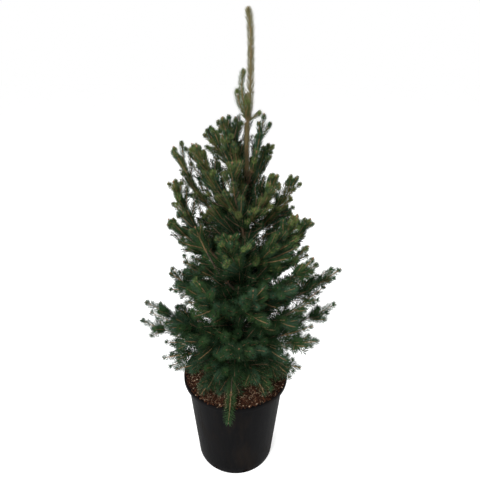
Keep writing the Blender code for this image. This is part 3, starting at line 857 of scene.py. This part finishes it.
# mulch: an uneven bed with bark chips and fibres strewn over it, a few of them on the rim
mulch = {
    "edge": soilHigh.z - 0.009,
    "crown": soilHigh.z,
    "crownWidth": 0.024,
    "shoulder": (0.070, soilHigh.z - 0.0015),
    "inside": soilHigh.x,
    "bottom": soilLow.z,
    "fit": 0.0003,              # clearance to the pot's wall
    "relief": 0.0030,
    "lumps": 95.0,              # scale of the lumps, and how much finer the crumbs on them are
    "crumbs": 2.3,
    "crumbShare": 0.35,
    "loose": 0.001,
    "ring": 0.0022,
    "turns": 150,
    "sharp": 50,
    "strewnDepth": 0.004,       # the chips lie no lower than this under the edge
    "spill": (0.1275, 0.1365),  # the chips on the rim lie between these radii
    "overRim": 0.0006,
    "rimTurns": 72,
    "trunkClear": 0.014,
}

# finish, number a square metre, smallest and largest size, seed, share of that number on the rim
chipKinds = {
    "chipsDark": ("mulchDark", 60000, 0.0030, 0.0075, 3, 0.60),
    "chipsRed": ("mulchRed", 40000, 0.0028, 0.0065, 11, 0.60),
    "chipsPale": ("mulchPale", 7000, 0.0025, 0.0055, 29, 0.60),
    "fibres": ("mulchFibre", 15000, 0.0080, 0.0180, 41, 0.30),
}
chip = {
    "block": (1, 0.46, 0.17),   # shares of its length
    "uneven": (0.2, 0.12, 0.04),
    "leastTurn": (-0.55, -0.55, 0.0),
    "mostTurn": (0.55, 0.55, 6.283),
}
fibre = {"radii": (0.045, 0.02), "bend": (0.12, 3.0), "rise": (0.10, 2.2)}


def chipMesh(name, mat):
    rng = random.Random(name)
    bm = bmesh.new()
    if name == "fibres":
        thick, thin = fibre["radii"]
        bmesh.ops.create_cone(bm, cap_ends=True, segments=3, radius1=thick, radius2=thin, depth=1)
        turn = Matrix.Rotation(math.radians(90), 4, "Y")
        bmesh.ops.transform(bm, matrix=turn, verts=bm.verts)
        bmesh.ops.subdivide_edges(bm, edges=[e for e in bm.edges if e.calc_length() > 0.5], cuts=2)
        for vert in bm.verts:
            vert.co.y += fibre["bend"][0] * math.cos(fibre["bend"][1] * vert.co.x)
            vert.co.z += fibre["rise"][0] * math.cos(fibre["rise"][1] * vert.co.x + 1)
    else:
        bmesh.ops.create_cube(bm, size=1, matrix=Matrix.Diagonal((*chip["block"], 1)))
        for vert in bm.verts:
            vert.co += Vector([jitter(rng, most) for most in chip["uneven"]])
    return meshOf(name, bm, mat)


def strewTree():
    tree, start, end = geometryTree(
        "strewn chips", ("Chip", "Object"), ("Chip material", "Material"), ("Density", "Float"),
        ("Smallest", "Float"), ("Largest", "Float"), ("Seed", "Int"), ("Least turn", "Vector"),
        ("Most turn", "Vector"))
    strew = add(tree, "GeometryNodeDistributePointsOnFaces", distribute_method="RANDOM")
    pattern = add(tree, "GeometryNodeObjectInfo", **{"As Instance": True})
    size = add(tree, "FunctionNodeRandomValue", data_type="FLOAT")
    turn = add(tree, "FunctionNodeRandomValue", data_type="FLOAT_VECTOR")
    place = add(tree, "GeometryNodeInstanceOnPoints")
    paint = add(tree, "GeometryNodeSetMaterial")
    flow(tree, start, strew, place, add(tree, "GeometryNodeRealizeInstances"), paint, end)
    joinUp(tree, (start, "Density", strew, "Density"), (start, "Seed", strew, "Seed"),
           (start, "Seed", size, "Seed"), (start, "Seed", turn, "Seed"),
           (start, "Smallest", size, "Min"), (start, "Largest", size, "Max"),
           (start, "Least turn", turn, "Min"), (start, "Most turn", turn, "Max"),
           (start, "Chip", pattern, "Object"), (pattern, "Geometry", place, "Instance"),
           (turn, "Value", place, "Rotation"), (size, "Value", place, "Scale"),
           (start, "Chip material", paint, "Material"))
    return tree


def mulchHeight(x, y, z):
    place, fine = Vector((x, y, 0)) * mulch["lumps"], mulch["crumbShare"]
    lumps, crumbs = noise.noise(place), noise.noise(place * mulch["crumbs"])
    return z + mulch["relief"] * ((1 - fine) * lumps + fine * crumbs)


def makeBed():
    levels = ((mulch["crownWidth"], mulch["crown"]), mulch["shoulder"], (mulch["inside"], mulch["edge"]))
    radii = np.linspace(0, mulch["inside"], round(mulch["inside"] / mulch["ring"]))
    profile = [(x, tableAt(levels, x)) for x in radii]
    profile += [(wallRadius(0) - pot["wall"] - mulch["fit"], mulch["bottom"]), (0, mulch["bottom"])]
    bed = turnedMesh("mulchBed", profile, mulch["turns"])
    for vert in bed.data.vertices:
        if vert.co.z > mulch["edge"] - mulch["loose"]:
            vert.co.z = min(mulchHeight(*vert.co), mulch["crown"] + mulch["loose"])
    turnOut(bed.data)
    smoothed(bed.data, mulch["sharp"])
    bed.data.materials.append(finish["mulchBed"])
    return dress(bed, "bark_mulch", "soil")


def makeMulch():
    bed = makeBed()
    ground = bmesh.new()
    ground.from_mesh(bed.data)
    low = [v for v in ground.verts if v.co.z < mulch["edge"] - mulch["strewnDepth"]
           or v.co.xy.length < mulch["trunkClear"]]
    bmesh.ops.delete(ground, geom=low, context="VERTS")
    groundMesh = meshOf("mulchGround", ground)
    rimTop = [(x, pot["height"] + mulch["overRim"]) for x in mulch["spill"]]
    rim = turnedMesh("rimTop", rimTop, mulch["rimTurns"])
    rimMesh = rim.data
    bpy.data.objects.remove(rim)

    tree = strewTree()
    for name, (finishName, density, smallest, largest, seed, onRim) in chipKinds.items():
        mat = finish[finishName]
        pattern = newPiece(name + "Pattern", chipMesh(name, mat))
        parts = []
        for surface, share in ((groundMesh, 1.0), (rimMesh, onRim)):
            piece = newPiece(name, surface.copy())
            parts.append(runTree(piece, tree, {
                "Chip": pattern, "Chip material": mat, "Density": density * share,
                "Smallest": smallest, "Largest": largest, "Seed": seed,
                "Least turn": chip["leastTurn"], "Most turn": chip["mostTurn"]}))
        both = bmesh.new()
        for part in parts:
            both.from_mesh(part.data)
        both.to_mesh(parts[0].data)
        both.free()
        bpy.data.objects.remove(parts[1])
        bpy.data.objects.remove(pattern)
        dress(parts[0], "bark_mulch")
        print(name, len(parts[0].data.polygons), "faces")


makePot()
makeMulch()


# wood: the trunk, the limbs and the twigs as tubes along their paths
wood = {
    "trunkBark": {"Sides": 36, "Ring": 0.003, "Relief": 0.0016, "Grain": 260.0, "Stretch": (1.0, 1.0, 0.28)},
    "boughs": {"Sides": 12, "Ring": 0.005, "Relief": 0.0009, "Grain": 420.0, "Stretch": (1.0, 1.0, 1.0)},
    "twigs": {"Sides": 5, "Ring": 0.013, "Relief": 0.0003, "Grain": 900.0, "Stretch": (1.0, 1.0, 1.0)},
}
ages = {"ridged": 0, "old": 1, "young": 2}
ageMats = [finish["ridgedBark"], finish["oldTwig"], finish["youngTwig"]]
ridgedWhorls = "5678"           # the limbs of the whorls with these numbers have ridged bark


def axisMesh(name, rows):
    points, edges, girths, barks = [], [], [], []
    for path, girthList, age in rows:
        start = len(points)
        points += [tuple(p) for p in path]
        edges += [(start + k, start + k + 1) for k in range(len(path) - 1)]
        girths += girthList
        barks += age if isinstance(age, list) else [age] * len(path)
    mesh = bpy.data.meshes.new(name)
    mesh.from_pydata(points, edges, [])
    mesh.attributes.new("girth", "FLOAT", "POINT").data.foreach_set("value", girths)
    mesh.attributes.new("age", "INT", "POINT").data.foreach_set("value", barks)
    return mesh


def woodTree():
    tree, start, end = geometryTree("wood along a path", ("Sides", "Int"), ("Ring", "Float"),
                                    ("Relief", "Float"), ("Grain", "Float"), ("Stretch", "Vector"))
    resample = add(tree, "GeometryNodeResampleCurve", mode="LENGTH")
    profile = add(tree, "GeometryNodeCurvePrimitiveCircle", Radius=1.0)
    tube = add(tree, "GeometryNodeCurveToMesh", **{"Fill Caps": True})
    scaled = add(tree, "ShaderNodeVectorMath", operation="MULTIPLY")
    lumps = add(tree, "ShaderNodeTexNoise", Detail=3.0, Roughness=0.6)
    centred = add(tree, "ShaderNodeMath", operation="SUBTRACT")
    centred.inputs[1].default_value = 0.5
    height = add(tree, "ShaderNodeMath", operation="MULTIPLY")
    push = add(tree, "ShaderNodeVectorMath", operation="SCALE")
    move = add(tree, "GeometryNodeSetPosition")
    flow(tree, start, add(tree, "GeometryNodeMeshToCurve"), resample, tube, move)
    joinUp(tree, (start, "Ring", resample, "Length"), (start, "Sides", profile, "Resolution"),
           (named(tree, "girth", "FLOAT"), "Attribute", tube, "Scale"),
           (profile, "Curve", tube, "Profile Curve"),
           (add(tree, "GeometryNodeInputPosition"), "Position", scaled, 0),
           (start, "Stretch", scaled, 1), (scaled, "Vector", lumps, "Vector"),
           (start, "Grain", lumps, "Scale"), (lumps, "Fac", centred, 0), (centred, 0, height, 0),
           (start, "Relief", height, 1), (add(tree, "GeometryNodeInputNormal"), "Normal", push, 0),
           (height, 0, push, "Scale"), (push, "Vector", move, "Offset"))
    paintBy(tree, "age", ageMats, move, end)
    return tree


def makeWood():
    heights = np.linspace(trunk["foot"], trunk["top"], trunk["rings"])
    trunkAges = [sum(z > limit for limit in trunk["youngFrom"]) for z in heights]
    trunkRows = [([trunkPoint(z) for z in heights], [trunkRadius(z) for z in heights], trunkAges)]
    thick, thin = [], []
    for shoot in shoots:
        path, kind = shoot["path"], shoot["kind"]
        girths = list(np.linspace(*shoot["girth"], len(path)))
        if kind == "limb":
            lastYear = pathLength(path) * (1 - 1 / shoot["age"])
            old = [p for k, p in enumerate(path) if pathLength(path[:k + 1]) <= lastYear]
            age = ages["ridged" if shoot["limb"][1] in ridgedWhorls else "old"]
            thick.append((old, girths[:len(old)], age))
            thin.append((path[len(old) - 1:], girths[len(old) - 1:], ages["young"]))
        elif kind != "trunk":
            thin.append((path, girths, ages["old" if kind == "inner" else "young"]))
    tree = woodTree()
    boughNodes = [name for name in nodeNames if name.startswith("bough")]
    for name, rows, nodes in (("trunkBark", trunkRows, ["trunk"]), ("boughs", thick, boughNodes),
                              ("twigs", thin, [])):
        piece = runTree(newPiece(name, axisMesh(name, rows)), tree, wood[name])
        dress(piece, "bark", *nodes)
        print(name, len(piece.data.polygons), "faces")


makeWood()


# needles: one slim kite-shaped solid each, turned round its shoot by the golden angle
needle = {
    "length": ((0.28, 0.0185), (0.50, 0.0175), (0.66, 0.0145), (0.74, 0.0120), (0.90, 0.0125),
               (0.95, 0.0150)),     # by height, as the next three are
    "angle": ((0.30, 58), (0.55, 52), (0.68, 44), (0.76, 38), (1.00, 34)),      # from the stem
    "perMetre": ((0.30, 1900), (0.60, 1900), (0.80, 2200), (1.10, 3300)),
    "width": ((0.45, 0.00150), (0.75, 0.00132)),
    "innerWidth": 0.00210,
    "density": {"inner": 0.45, "trunk": 2.0, "leader": 1.3},    # times the number a metre
    "slimDensity": 1.8,
    "bareFoot": {"limb": 0.40, "trunk": 0.0, "leader": 0.01},   # share of the shoot without needles
    "otherFoot": 0.05,
    "trunkAngle": 24,
    "angleSpread": 6,
    "turnSpread": 0.3,
    "lengthSpread": (0.84, 1.08),
    "gauge": 0.003,             # the shoot's heading is taken over this distance on both sides
    "tipGauge": 0.001,
    "comb": 0.14,               # how far needles crowd to the sides of a flat shoot
    "lift": 0.16,               # how much they bend upwards, less on an upright shoot
    "liftLeast": 0.3,
    "liftSpread": (0.4, 1.2),
    "sunk": 0.7,                # they start at this share of the shoot's radius
    "footLength": 0.72,         # the first ones are this long, and the full length comes later
    "footReach": 0.02,
    "tipReach": 0.014,          # over this last length they grow shorter and lie closer
    "tipShorter": (0.25, 0.30),     # and this much more in a round tip
    "tipCloser": 0.45,
    "potClear": 0.0005,
    "proudShare": 0.03,         # they may stand proud of the frame's box by this share and this much
    "proudEdge": 0.008,
    "perPiece": 47000,
}

# the brush of needles at a shoot's tip
club = {
    "from": (0.48, 0.66),       # between these heights the tips grow rounder and denser
    "count": 64,
    "least": 0.2,               # share of that number at the lowest tips
    "side": 0.35,
    "forward": (0.62, 0.97),    # how far the brush opens: at a low tip, and more at a high one
    "radius": 0.0068,
    "spread": (0.92, 1.08),
    "lowReach": 1.75,
    "back": 0.0045,             # distance of the brush's middle from the tip
    "rootPlace": (0.9, 0.0032),
}

proud = (cadBox[1] - cadBox[0]) * needle["proudShare"] + Vector((needle["proudEdge"],) * 3)
reachLow, reachHigh = np.array(cadBox[0] - proud), np.array(cadBox[1] + proud)

# tones of a shoot's needles and of its round tip, above each height of the tip; the darkest tone in the
# lowest band is painted shade
crownTones = (
    (0.74, ("olive", "mid", "olive", "blue"), ("fresh", "olive", "blue")),
    (0.60, ("mid", "mid", "blue"), ("fresh", "mid", "olive")),
    (0.00, ("mid", "mid", "blue", "deep"), ("mid", "blue", "blue")),
)
# the inner shoots inside the crown take the darkest tone alone, as painted shade
ownTones = {"leader": ("pale", "pale"), "trunk": ("pale", "pale"), "inner": ("deep", "deep")}
leaderTones = (("pale", "olive"), "fresh")


def needleMesh(mat):
    bm = bmesh.new()
    root, tip = bm.verts.new((0, 0, 0)), bm.verts.new((0, 0.5, 1))
    left, right = bm.verts.new((-0.5, 0.7, 0.42)), bm.verts.new((0.5, 0.7, 0.42))
    for corners in ((root, left, right), (tip, right, left), (root, right, tip), (root, tip, left)):
        bm.faces.new(corners)
    bmesh.ops.recalc_face_normals(bm, faces=bm.faces)
    return meshOf("needle", bm, mat)


def along(steps, places, distance):
    return np.stack([np.interp(distance, steps, places[:, k]) for k in range(3)], axis=1)


def unit(rows):
    return rows / np.linalg.norm(rows, axis=1, keepdims=True)


# base, direction, outward side and length of the needles along a shoot, and the way its tip stands
def stemNeedles(shoot, places, clubShare, rng):
    kind = shoot["kind"]
    steps = np.concatenate([[0], np.cumsum(np.linalg.norm(np.diff(places, axis=0), axis=1))])
    total = steps[-1]
    startAt = total * needle["bareFoot"].get(kind, needle["otherFoot"])
    share = needle["density"].get(kind, 1.0)
    if shoot["limb"] in habits["slim"] and kind != "inner":     # single slim limbs only
        share *= needle["slimDensity"]
    count = int((total - startAt) * tableAt(needle["perMetre"], places[:, 2].mean()) * share)
    s = startAt + (np.arange(count) + rng.uniform(0, 1, count)) / count * (total - startAt)
    turn = goldenTurn * np.arange(count) + jitter(rng, needle["turnSpread"], count)
    base = along(steps, places, s)
    ahead = along(steps, places, np.minimum(s + needle["gauge"], total))
    behind = along(steps, places, np.minimum(s, total - needle["tipGauge"]) - needle["gauge"])
    heading = unit(ahead - behind)
    flat = 1 - np.abs(heading[:, 2])
    side = np.cross(heading, (0.0, 0.0, 1.0))
    side[np.linalg.norm(side, axis=1) < 0.05] = (1, 0, 0)
    side = unit(side)
    above = np.cross(side, heading)
    combed = turn + needle["comb"] * flat * np.sin(2 * turn)
    out = above * np.cos(combed)[:, None] + side * np.sin(combed)[:, None]
    angle = tableAt(needle["angle"], base[:, 2]) + rng.normal(0, needle["angleSpread"], count)
    if kind == "trunk":
        angle = needle["trunkAngle"] + rng.normal(0, needle["angleSpread"], count)
    length = tableAt(needle["length"], base[:, 2]) * rng.uniform(*needle["lengthSpread"], count)
    nearTip = np.clip(1 - (total - s) / needle["tipReach"], 0, 1)
    fromFoot = np.clip((s - startAt) / needle["footReach"], 0, 1)
    length *= needle["footLength"] + (1 - needle["footLength"]) * fromFoot
    length *= 1 - (needle["tipShorter"][0] + needle["tipShorter"][1] * clubShare) * nearTip
    angle *= 1 - needle["tipCloser"] * nearTip * (1 - clubShare)
    bent = np.radians(np.maximum(angle, 2))
    way = heading * np.cos(bent)[:, None] + out * np.sin(bent)[:, None]
    way[:, 2] += needle["lift"] * (needle["liftLeast"] + flat) * rng.uniform(*needle["liftSpread"], count)
    base += out * (np.interp(s, (0, total), shoot["girth"]) * needle["sunk"])[:, None]
    return (base, unit(way), out, length), (heading[-1], side[-1], above[-1])


def tipNeedles(tip, axes, clubShare, rng):
    count = int(club["count"] * (club["least"] + (1 - club["least"]) * clubShare))
    forward = rng.uniform(club["forward"][0] - club["forward"][1] * clubShare, 1, count)
    around = goldenTurn * np.arange(count)
    last, sideways, upward = axes
    level = np.sqrt(1 - forward ** 2)[:, None]
    dome = (last * forward[:, None] + sideways * (level * np.cos(around)[:, None])
            + upward * (level * np.sin(around)[:, None]))
    reach = club["radius"] * rng.uniform(*club["spread"], count)
    reach = reach * (clubShare + (1 - clubShare) * club["lowReach"])
    middle = tip - last * club["back"]
    roots = middle + last * ((forward - club["rootPlace"][0]) * club["rootPlace"][1])[:, None]
    span = middle + dome * reach[:, None] - roots
    return roots, unit(span), dome, np.linalg.norm(span, axis=1)


# base, direction, outward side and size of every needle of a shoot, and which are in its round tip
def shootNeedles(shoot, seed):
    rng = np.random.default_rng(seed)
    kind = shoot["kind"]
    places = np.array([tuple(p) for p in shoot["path"]])
    lowest, highest = club["from"]
    clubShare = np.clip((places[-1, 2] - lowest) / (highest - lowest), 0, 1)
    if kind not in ("limb", "tip", "leader") and shoot["limb"] != "leader":
        clubShare *= club["side"]
    stem, axes = stemNeedles(shoot, places, clubShare, rng)
    parts = [stem]
    if kind not in ("inner", "trunk"):
        parts.append(tipNeedles(places[-1], axes, clubShare, rng))
    base, way, out, length = (np.concatenate(column) for column in zip(*parts))
    inClub = np.arange(len(base)) >= len(stem[0])
    wide = tableAt(needle["width"], base[:, 2])
    if kind == "inner":
        wide[:] = needle["innerWidth"]
    ends = base + way * length[:, None]
    keep = np.array([potDistance(Vector(end)) > needle["potClear"] for end in ends])
    keep &= np.all((ends > reachLow) & (ends < reachHigh), axis=1)
    size = np.stack([wide, wide, length], axis=1)
    return base[keep], way[keep], out[keep], size[keep], inClub[keep]


def tonesOf(shoot, rng):
    if shoot["kind"] in ownTones:
        return ownTones[shoot["kind"]]
    if shoot["limb"] == "leader":
        return rng.choice(leaderTones[0]), leaderTones[1]
    _, stemTones, tipTones = next(row for row in crownTones if shoot["path"][-1].z > row[0])
    return rng.choice(stemTones), rng.choice(tipTones)


def setTree(name, mats):
    tree, start, end = geometryTree(name, ("Pattern", "Object"))
    info = add(tree, "GeometryNodeObjectInfo", **{"As Instance": True})
    way, out, size = (named(tree, label, "FLOAT_VECTOR") for label in ("way", "out", "size"))
    alignZ = add(tree, "FunctionNodeAlignRotationToVector", axis="Z")
    alignY = add(tree, "FunctionNodeAlignRotationToVector", axis="Y", pivot_axis="Z")
    place = add(tree, "GeometryNodeInstanceOnPoints")
    real = add(tree, "GeometryNodeRealizeInstances")
    flow(tree, start, place, real)
    joinUp(tree, (start, "Pattern", info, "Object"), (info, "Geometry", place, "Instance"),
           (way, "Attribute", alignZ, "Vector"), (alignZ, "Rotation", alignY, "Rotation"),
           (out, "Attribute", alignY, "Vector"), (alignY, "Rotation", place, "Rotation"),
           (size, "Attribute", place, "Scale"))
    paintBy(tree, "tone", mats, real, end)
    return tree


def pointCloud(name, co, **columns):
    mesh = bpy.data.meshes.new(name)
    mesh.vertices.add(len(co))
    mesh.vertices.foreach_set("co", co.ravel())
    for label, values in columns.items():
        if values.ndim == 2:
            mesh.attributes.new(label, "FLOAT_VECTOR", "POINT").data.foreach_set("vector", values.ravel())
        else:
            mesh.attributes.new(label, "INT", "POINT").data.foreach_set("value", values)
    return mesh


def makeNeedles():
    pattern = newPiece("needlePattern", needleMesh(needleMats[0]))
    tree = setTree("needles on their shoots", needleMats)
    rng = random.Random("tones")
    batches, filled = [], 0
    for number, shoot in enumerate(sorted(shoots, key=lambda s: s["path"][-1].z)):
        base, way, out, size, inClub = shootNeedles(shoot, number)
        stemTone, tipTone = (toneIndex[tone] for tone in tonesOf(shoot, rng))
        tone = np.where(inClub, tipTone, stemTone).astype(np.int32)
        if not batches or filled + len(base) > needle["perPiece"]:
            batches.append([])
            filled = 0
        batches[-1].append((base, way, out, size, tone))
        filled += len(base)
    masses = [name for name in nodeNames if name.startswith("mass")] + ["leader"]
    for number, batch in enumerate(batches):
        base, way, out, size, tone = (np.concatenate(column) for column in zip(*batch))
        cloud = pointCloud("needles", base, way=way, out=out, size=size, tone=tone)
        piece = runTree(newPiece(f"needles_{number + 1}", cloud), tree, {"Pattern": pattern})
        dress(piece, "needles", *([] if number else masses))
        print(piece.name, len(base), "needles,", len(piece.data.polygons), "faces")
    bpy.data.objects.remove(pattern)


# buds: one at the end of each shoot and a few round the limb's yearly nodes
bud = {
    "length": 0.0050,
    "width": 0.0030,
    "size": (0.8, 1.1),
    "large": 1.1,               # on limbs and the leader, and on other shoots
    "small": 0.65,
    "sunk": 0.001,
    "atNode": 5,
    "nodeSize": (0.6, 0.85),
    "nodeSunk": 0.0004,
    "pastNode": 0.0005,
    "roll": 0.4,
    "lean": 0.7,
    "across": (0.3, 0.9, 0.1),  # the first bud at a node stands on the side that this way gives
}


def budMesh():
    bm = bmesh.new()
    bmesh.ops.create_icosphere(bm, subdivisions=1, radius=0.5)
    for vert in bm.verts:
        vert.co.z += 0.5
    return meshOf("bud", bm, finish["budScale"])


def budRows():
    rng = random.Random("buds")
    for shoot in shoots:
        path, kind, years = shoot["path"], shoot["kind"], shoot["age"]
        if kind in ("inner", "trunk"):
            continue
        heading = pointOn(path, pathLength(path))[1]
        scale = rng.uniform(*bud["size"]) * bud["large" if kind in ("leader", "limb") else "small"]
        yield path[-1] - heading * bud["sunk"], heading, scale
        if kind not in ("limb", "leader"):
            continue
        for year in range(0 if kind == "leader" else 1, years):
            place, heading = pointOn(path, pathLength(path) * year / years + bud["pastNode"])
            across = heading.cross(Vector(bud["across"])).normalized()
            girth = shoot["girth"][0] + (shoot["girth"][1] - shoot["girth"][0]) * year / years
            for k in range(bud["atNode"]):
                roll = 2 * math.pi * k / bud["atNode"] + jitter(rng, bud["roll"])
                outward = Matrix.Rotation(roll, 3, heading) @ across
                way = (heading * bud["lean"] + outward).normalized()
                yield place + outward * (girth - bud["nodeSunk"]), way, rng.uniform(*bud["nodeSize"])


def makeBuds():
    places, ways, scales = zip(*budRows())
    wide, long = bud["width"], bud["length"]
    cloud = pointCloud("buds", np.array([tuple(place) for place in places]),
                       way=np.array([tuple(way) for way in ways]),
                       out=np.array([tuple(way.orthogonal()) for way in ways]),
                       size=np.array([(wide * scale, wide * scale, long * scale) for scale in scales]))
    pattern = newPiece("budPattern", budMesh())
    tree = setTree("buds on their shoots", [finish["budScale"]])
    piece = runTree(newPiece("buds", cloud), tree, {"Pattern": pattern})
    bpy.data.objects.remove(pattern)
    print("buds:", len(places))
    dress(piece, "bark")


makeBuds()
makeNeedles()


# stage, light and camera
studio = {
    "shown": 1.0,               # the backdrop that shows is white, and the light that it gives is dimmer
    "light": 0.62,
    "floorGlow": 0.5,
    "floorSize": 60,
    "lampsAim": (0, 0, 0.6),
    "lamps": {"key": ((-1.2, -2.2, 2.6), 1.4, 105), "top": ((0.4, 0.2, 3.2), 1.2, 50)},
}
view = {"place": (0, -0.903, 1.028), "pitch": 22.6, "focal": 30.94, "shift": 0.0092}


def makeFloor():
    mat, tree, shader = newMaterial("paleFloor", (0.80, 0.80, 0.80), 0.9, 0.1)
    group = placeMottle(tree, (0.78, 0.78, 0.78), (0.82, 0.82, 0.82), 3.0)
    joinUp(tree, (group, "Colour", shader, "Base Color"))
    shader.inputs["Emission Color"].default_value = (1, 1, 1, 1)
    path = add(tree, "ShaderNodeLightPath")
    ranged(tree, path, "Is Camera Ray", (0, studio["floorGlow"]), shader, "Emission Strength")
    bpy.ops.mesh.primitive_plane_add(size=studio["floorSize"])
    floor = bpy.context.object
    floor.name = "floor"
    floor.data.materials.append(mat)


def makeWorld():
    world = bpy.data.worlds.new("studio")
    bpy.context.scene.world = world
    world.use_nodes = True
    tree = world.node_tree
    background = tree.nodes["Background"]
    background.inputs["Color"].default_value = (1, 1, 1, 1)
    path = add(tree, "ShaderNodeLightPath")
    ranged(tree, path, "Is Camera Ray", (studio["light"], studio["shown"]), background, "Strength")


def makeLamps():
    for name, (place, size, power) in studio["lamps"].items():
        light = bpy.data.lights.new(name, "AREA")
        light.shape = "DISK"
        light.size = size
        light.energy = power
        lamp = newPiece(name, light)
        lamp.location = place
        aim = Vector(studio["lampsAim"]) - Vector(place)
        lamp.rotation_euler = aim.to_track_quat("-Z", "Y").to_euler()


def makeCamera():
    camera = newPiece("camera", bpy.data.cameras.new("camera"))
    camera.location = view["place"]
    camera.rotation_euler = (math.radians(90 - view["pitch"]), 0, 0)
    camera.data.lens = view["focal"]
    camera.data.shift_x = view["shift"]
    bpy.context.scene.camera = camera


makeFloor()
makeWorld()
bpy.context.scene.view_settings.view_transform = "Standard"
makeLamps()
makeCamera()
print("stage set")
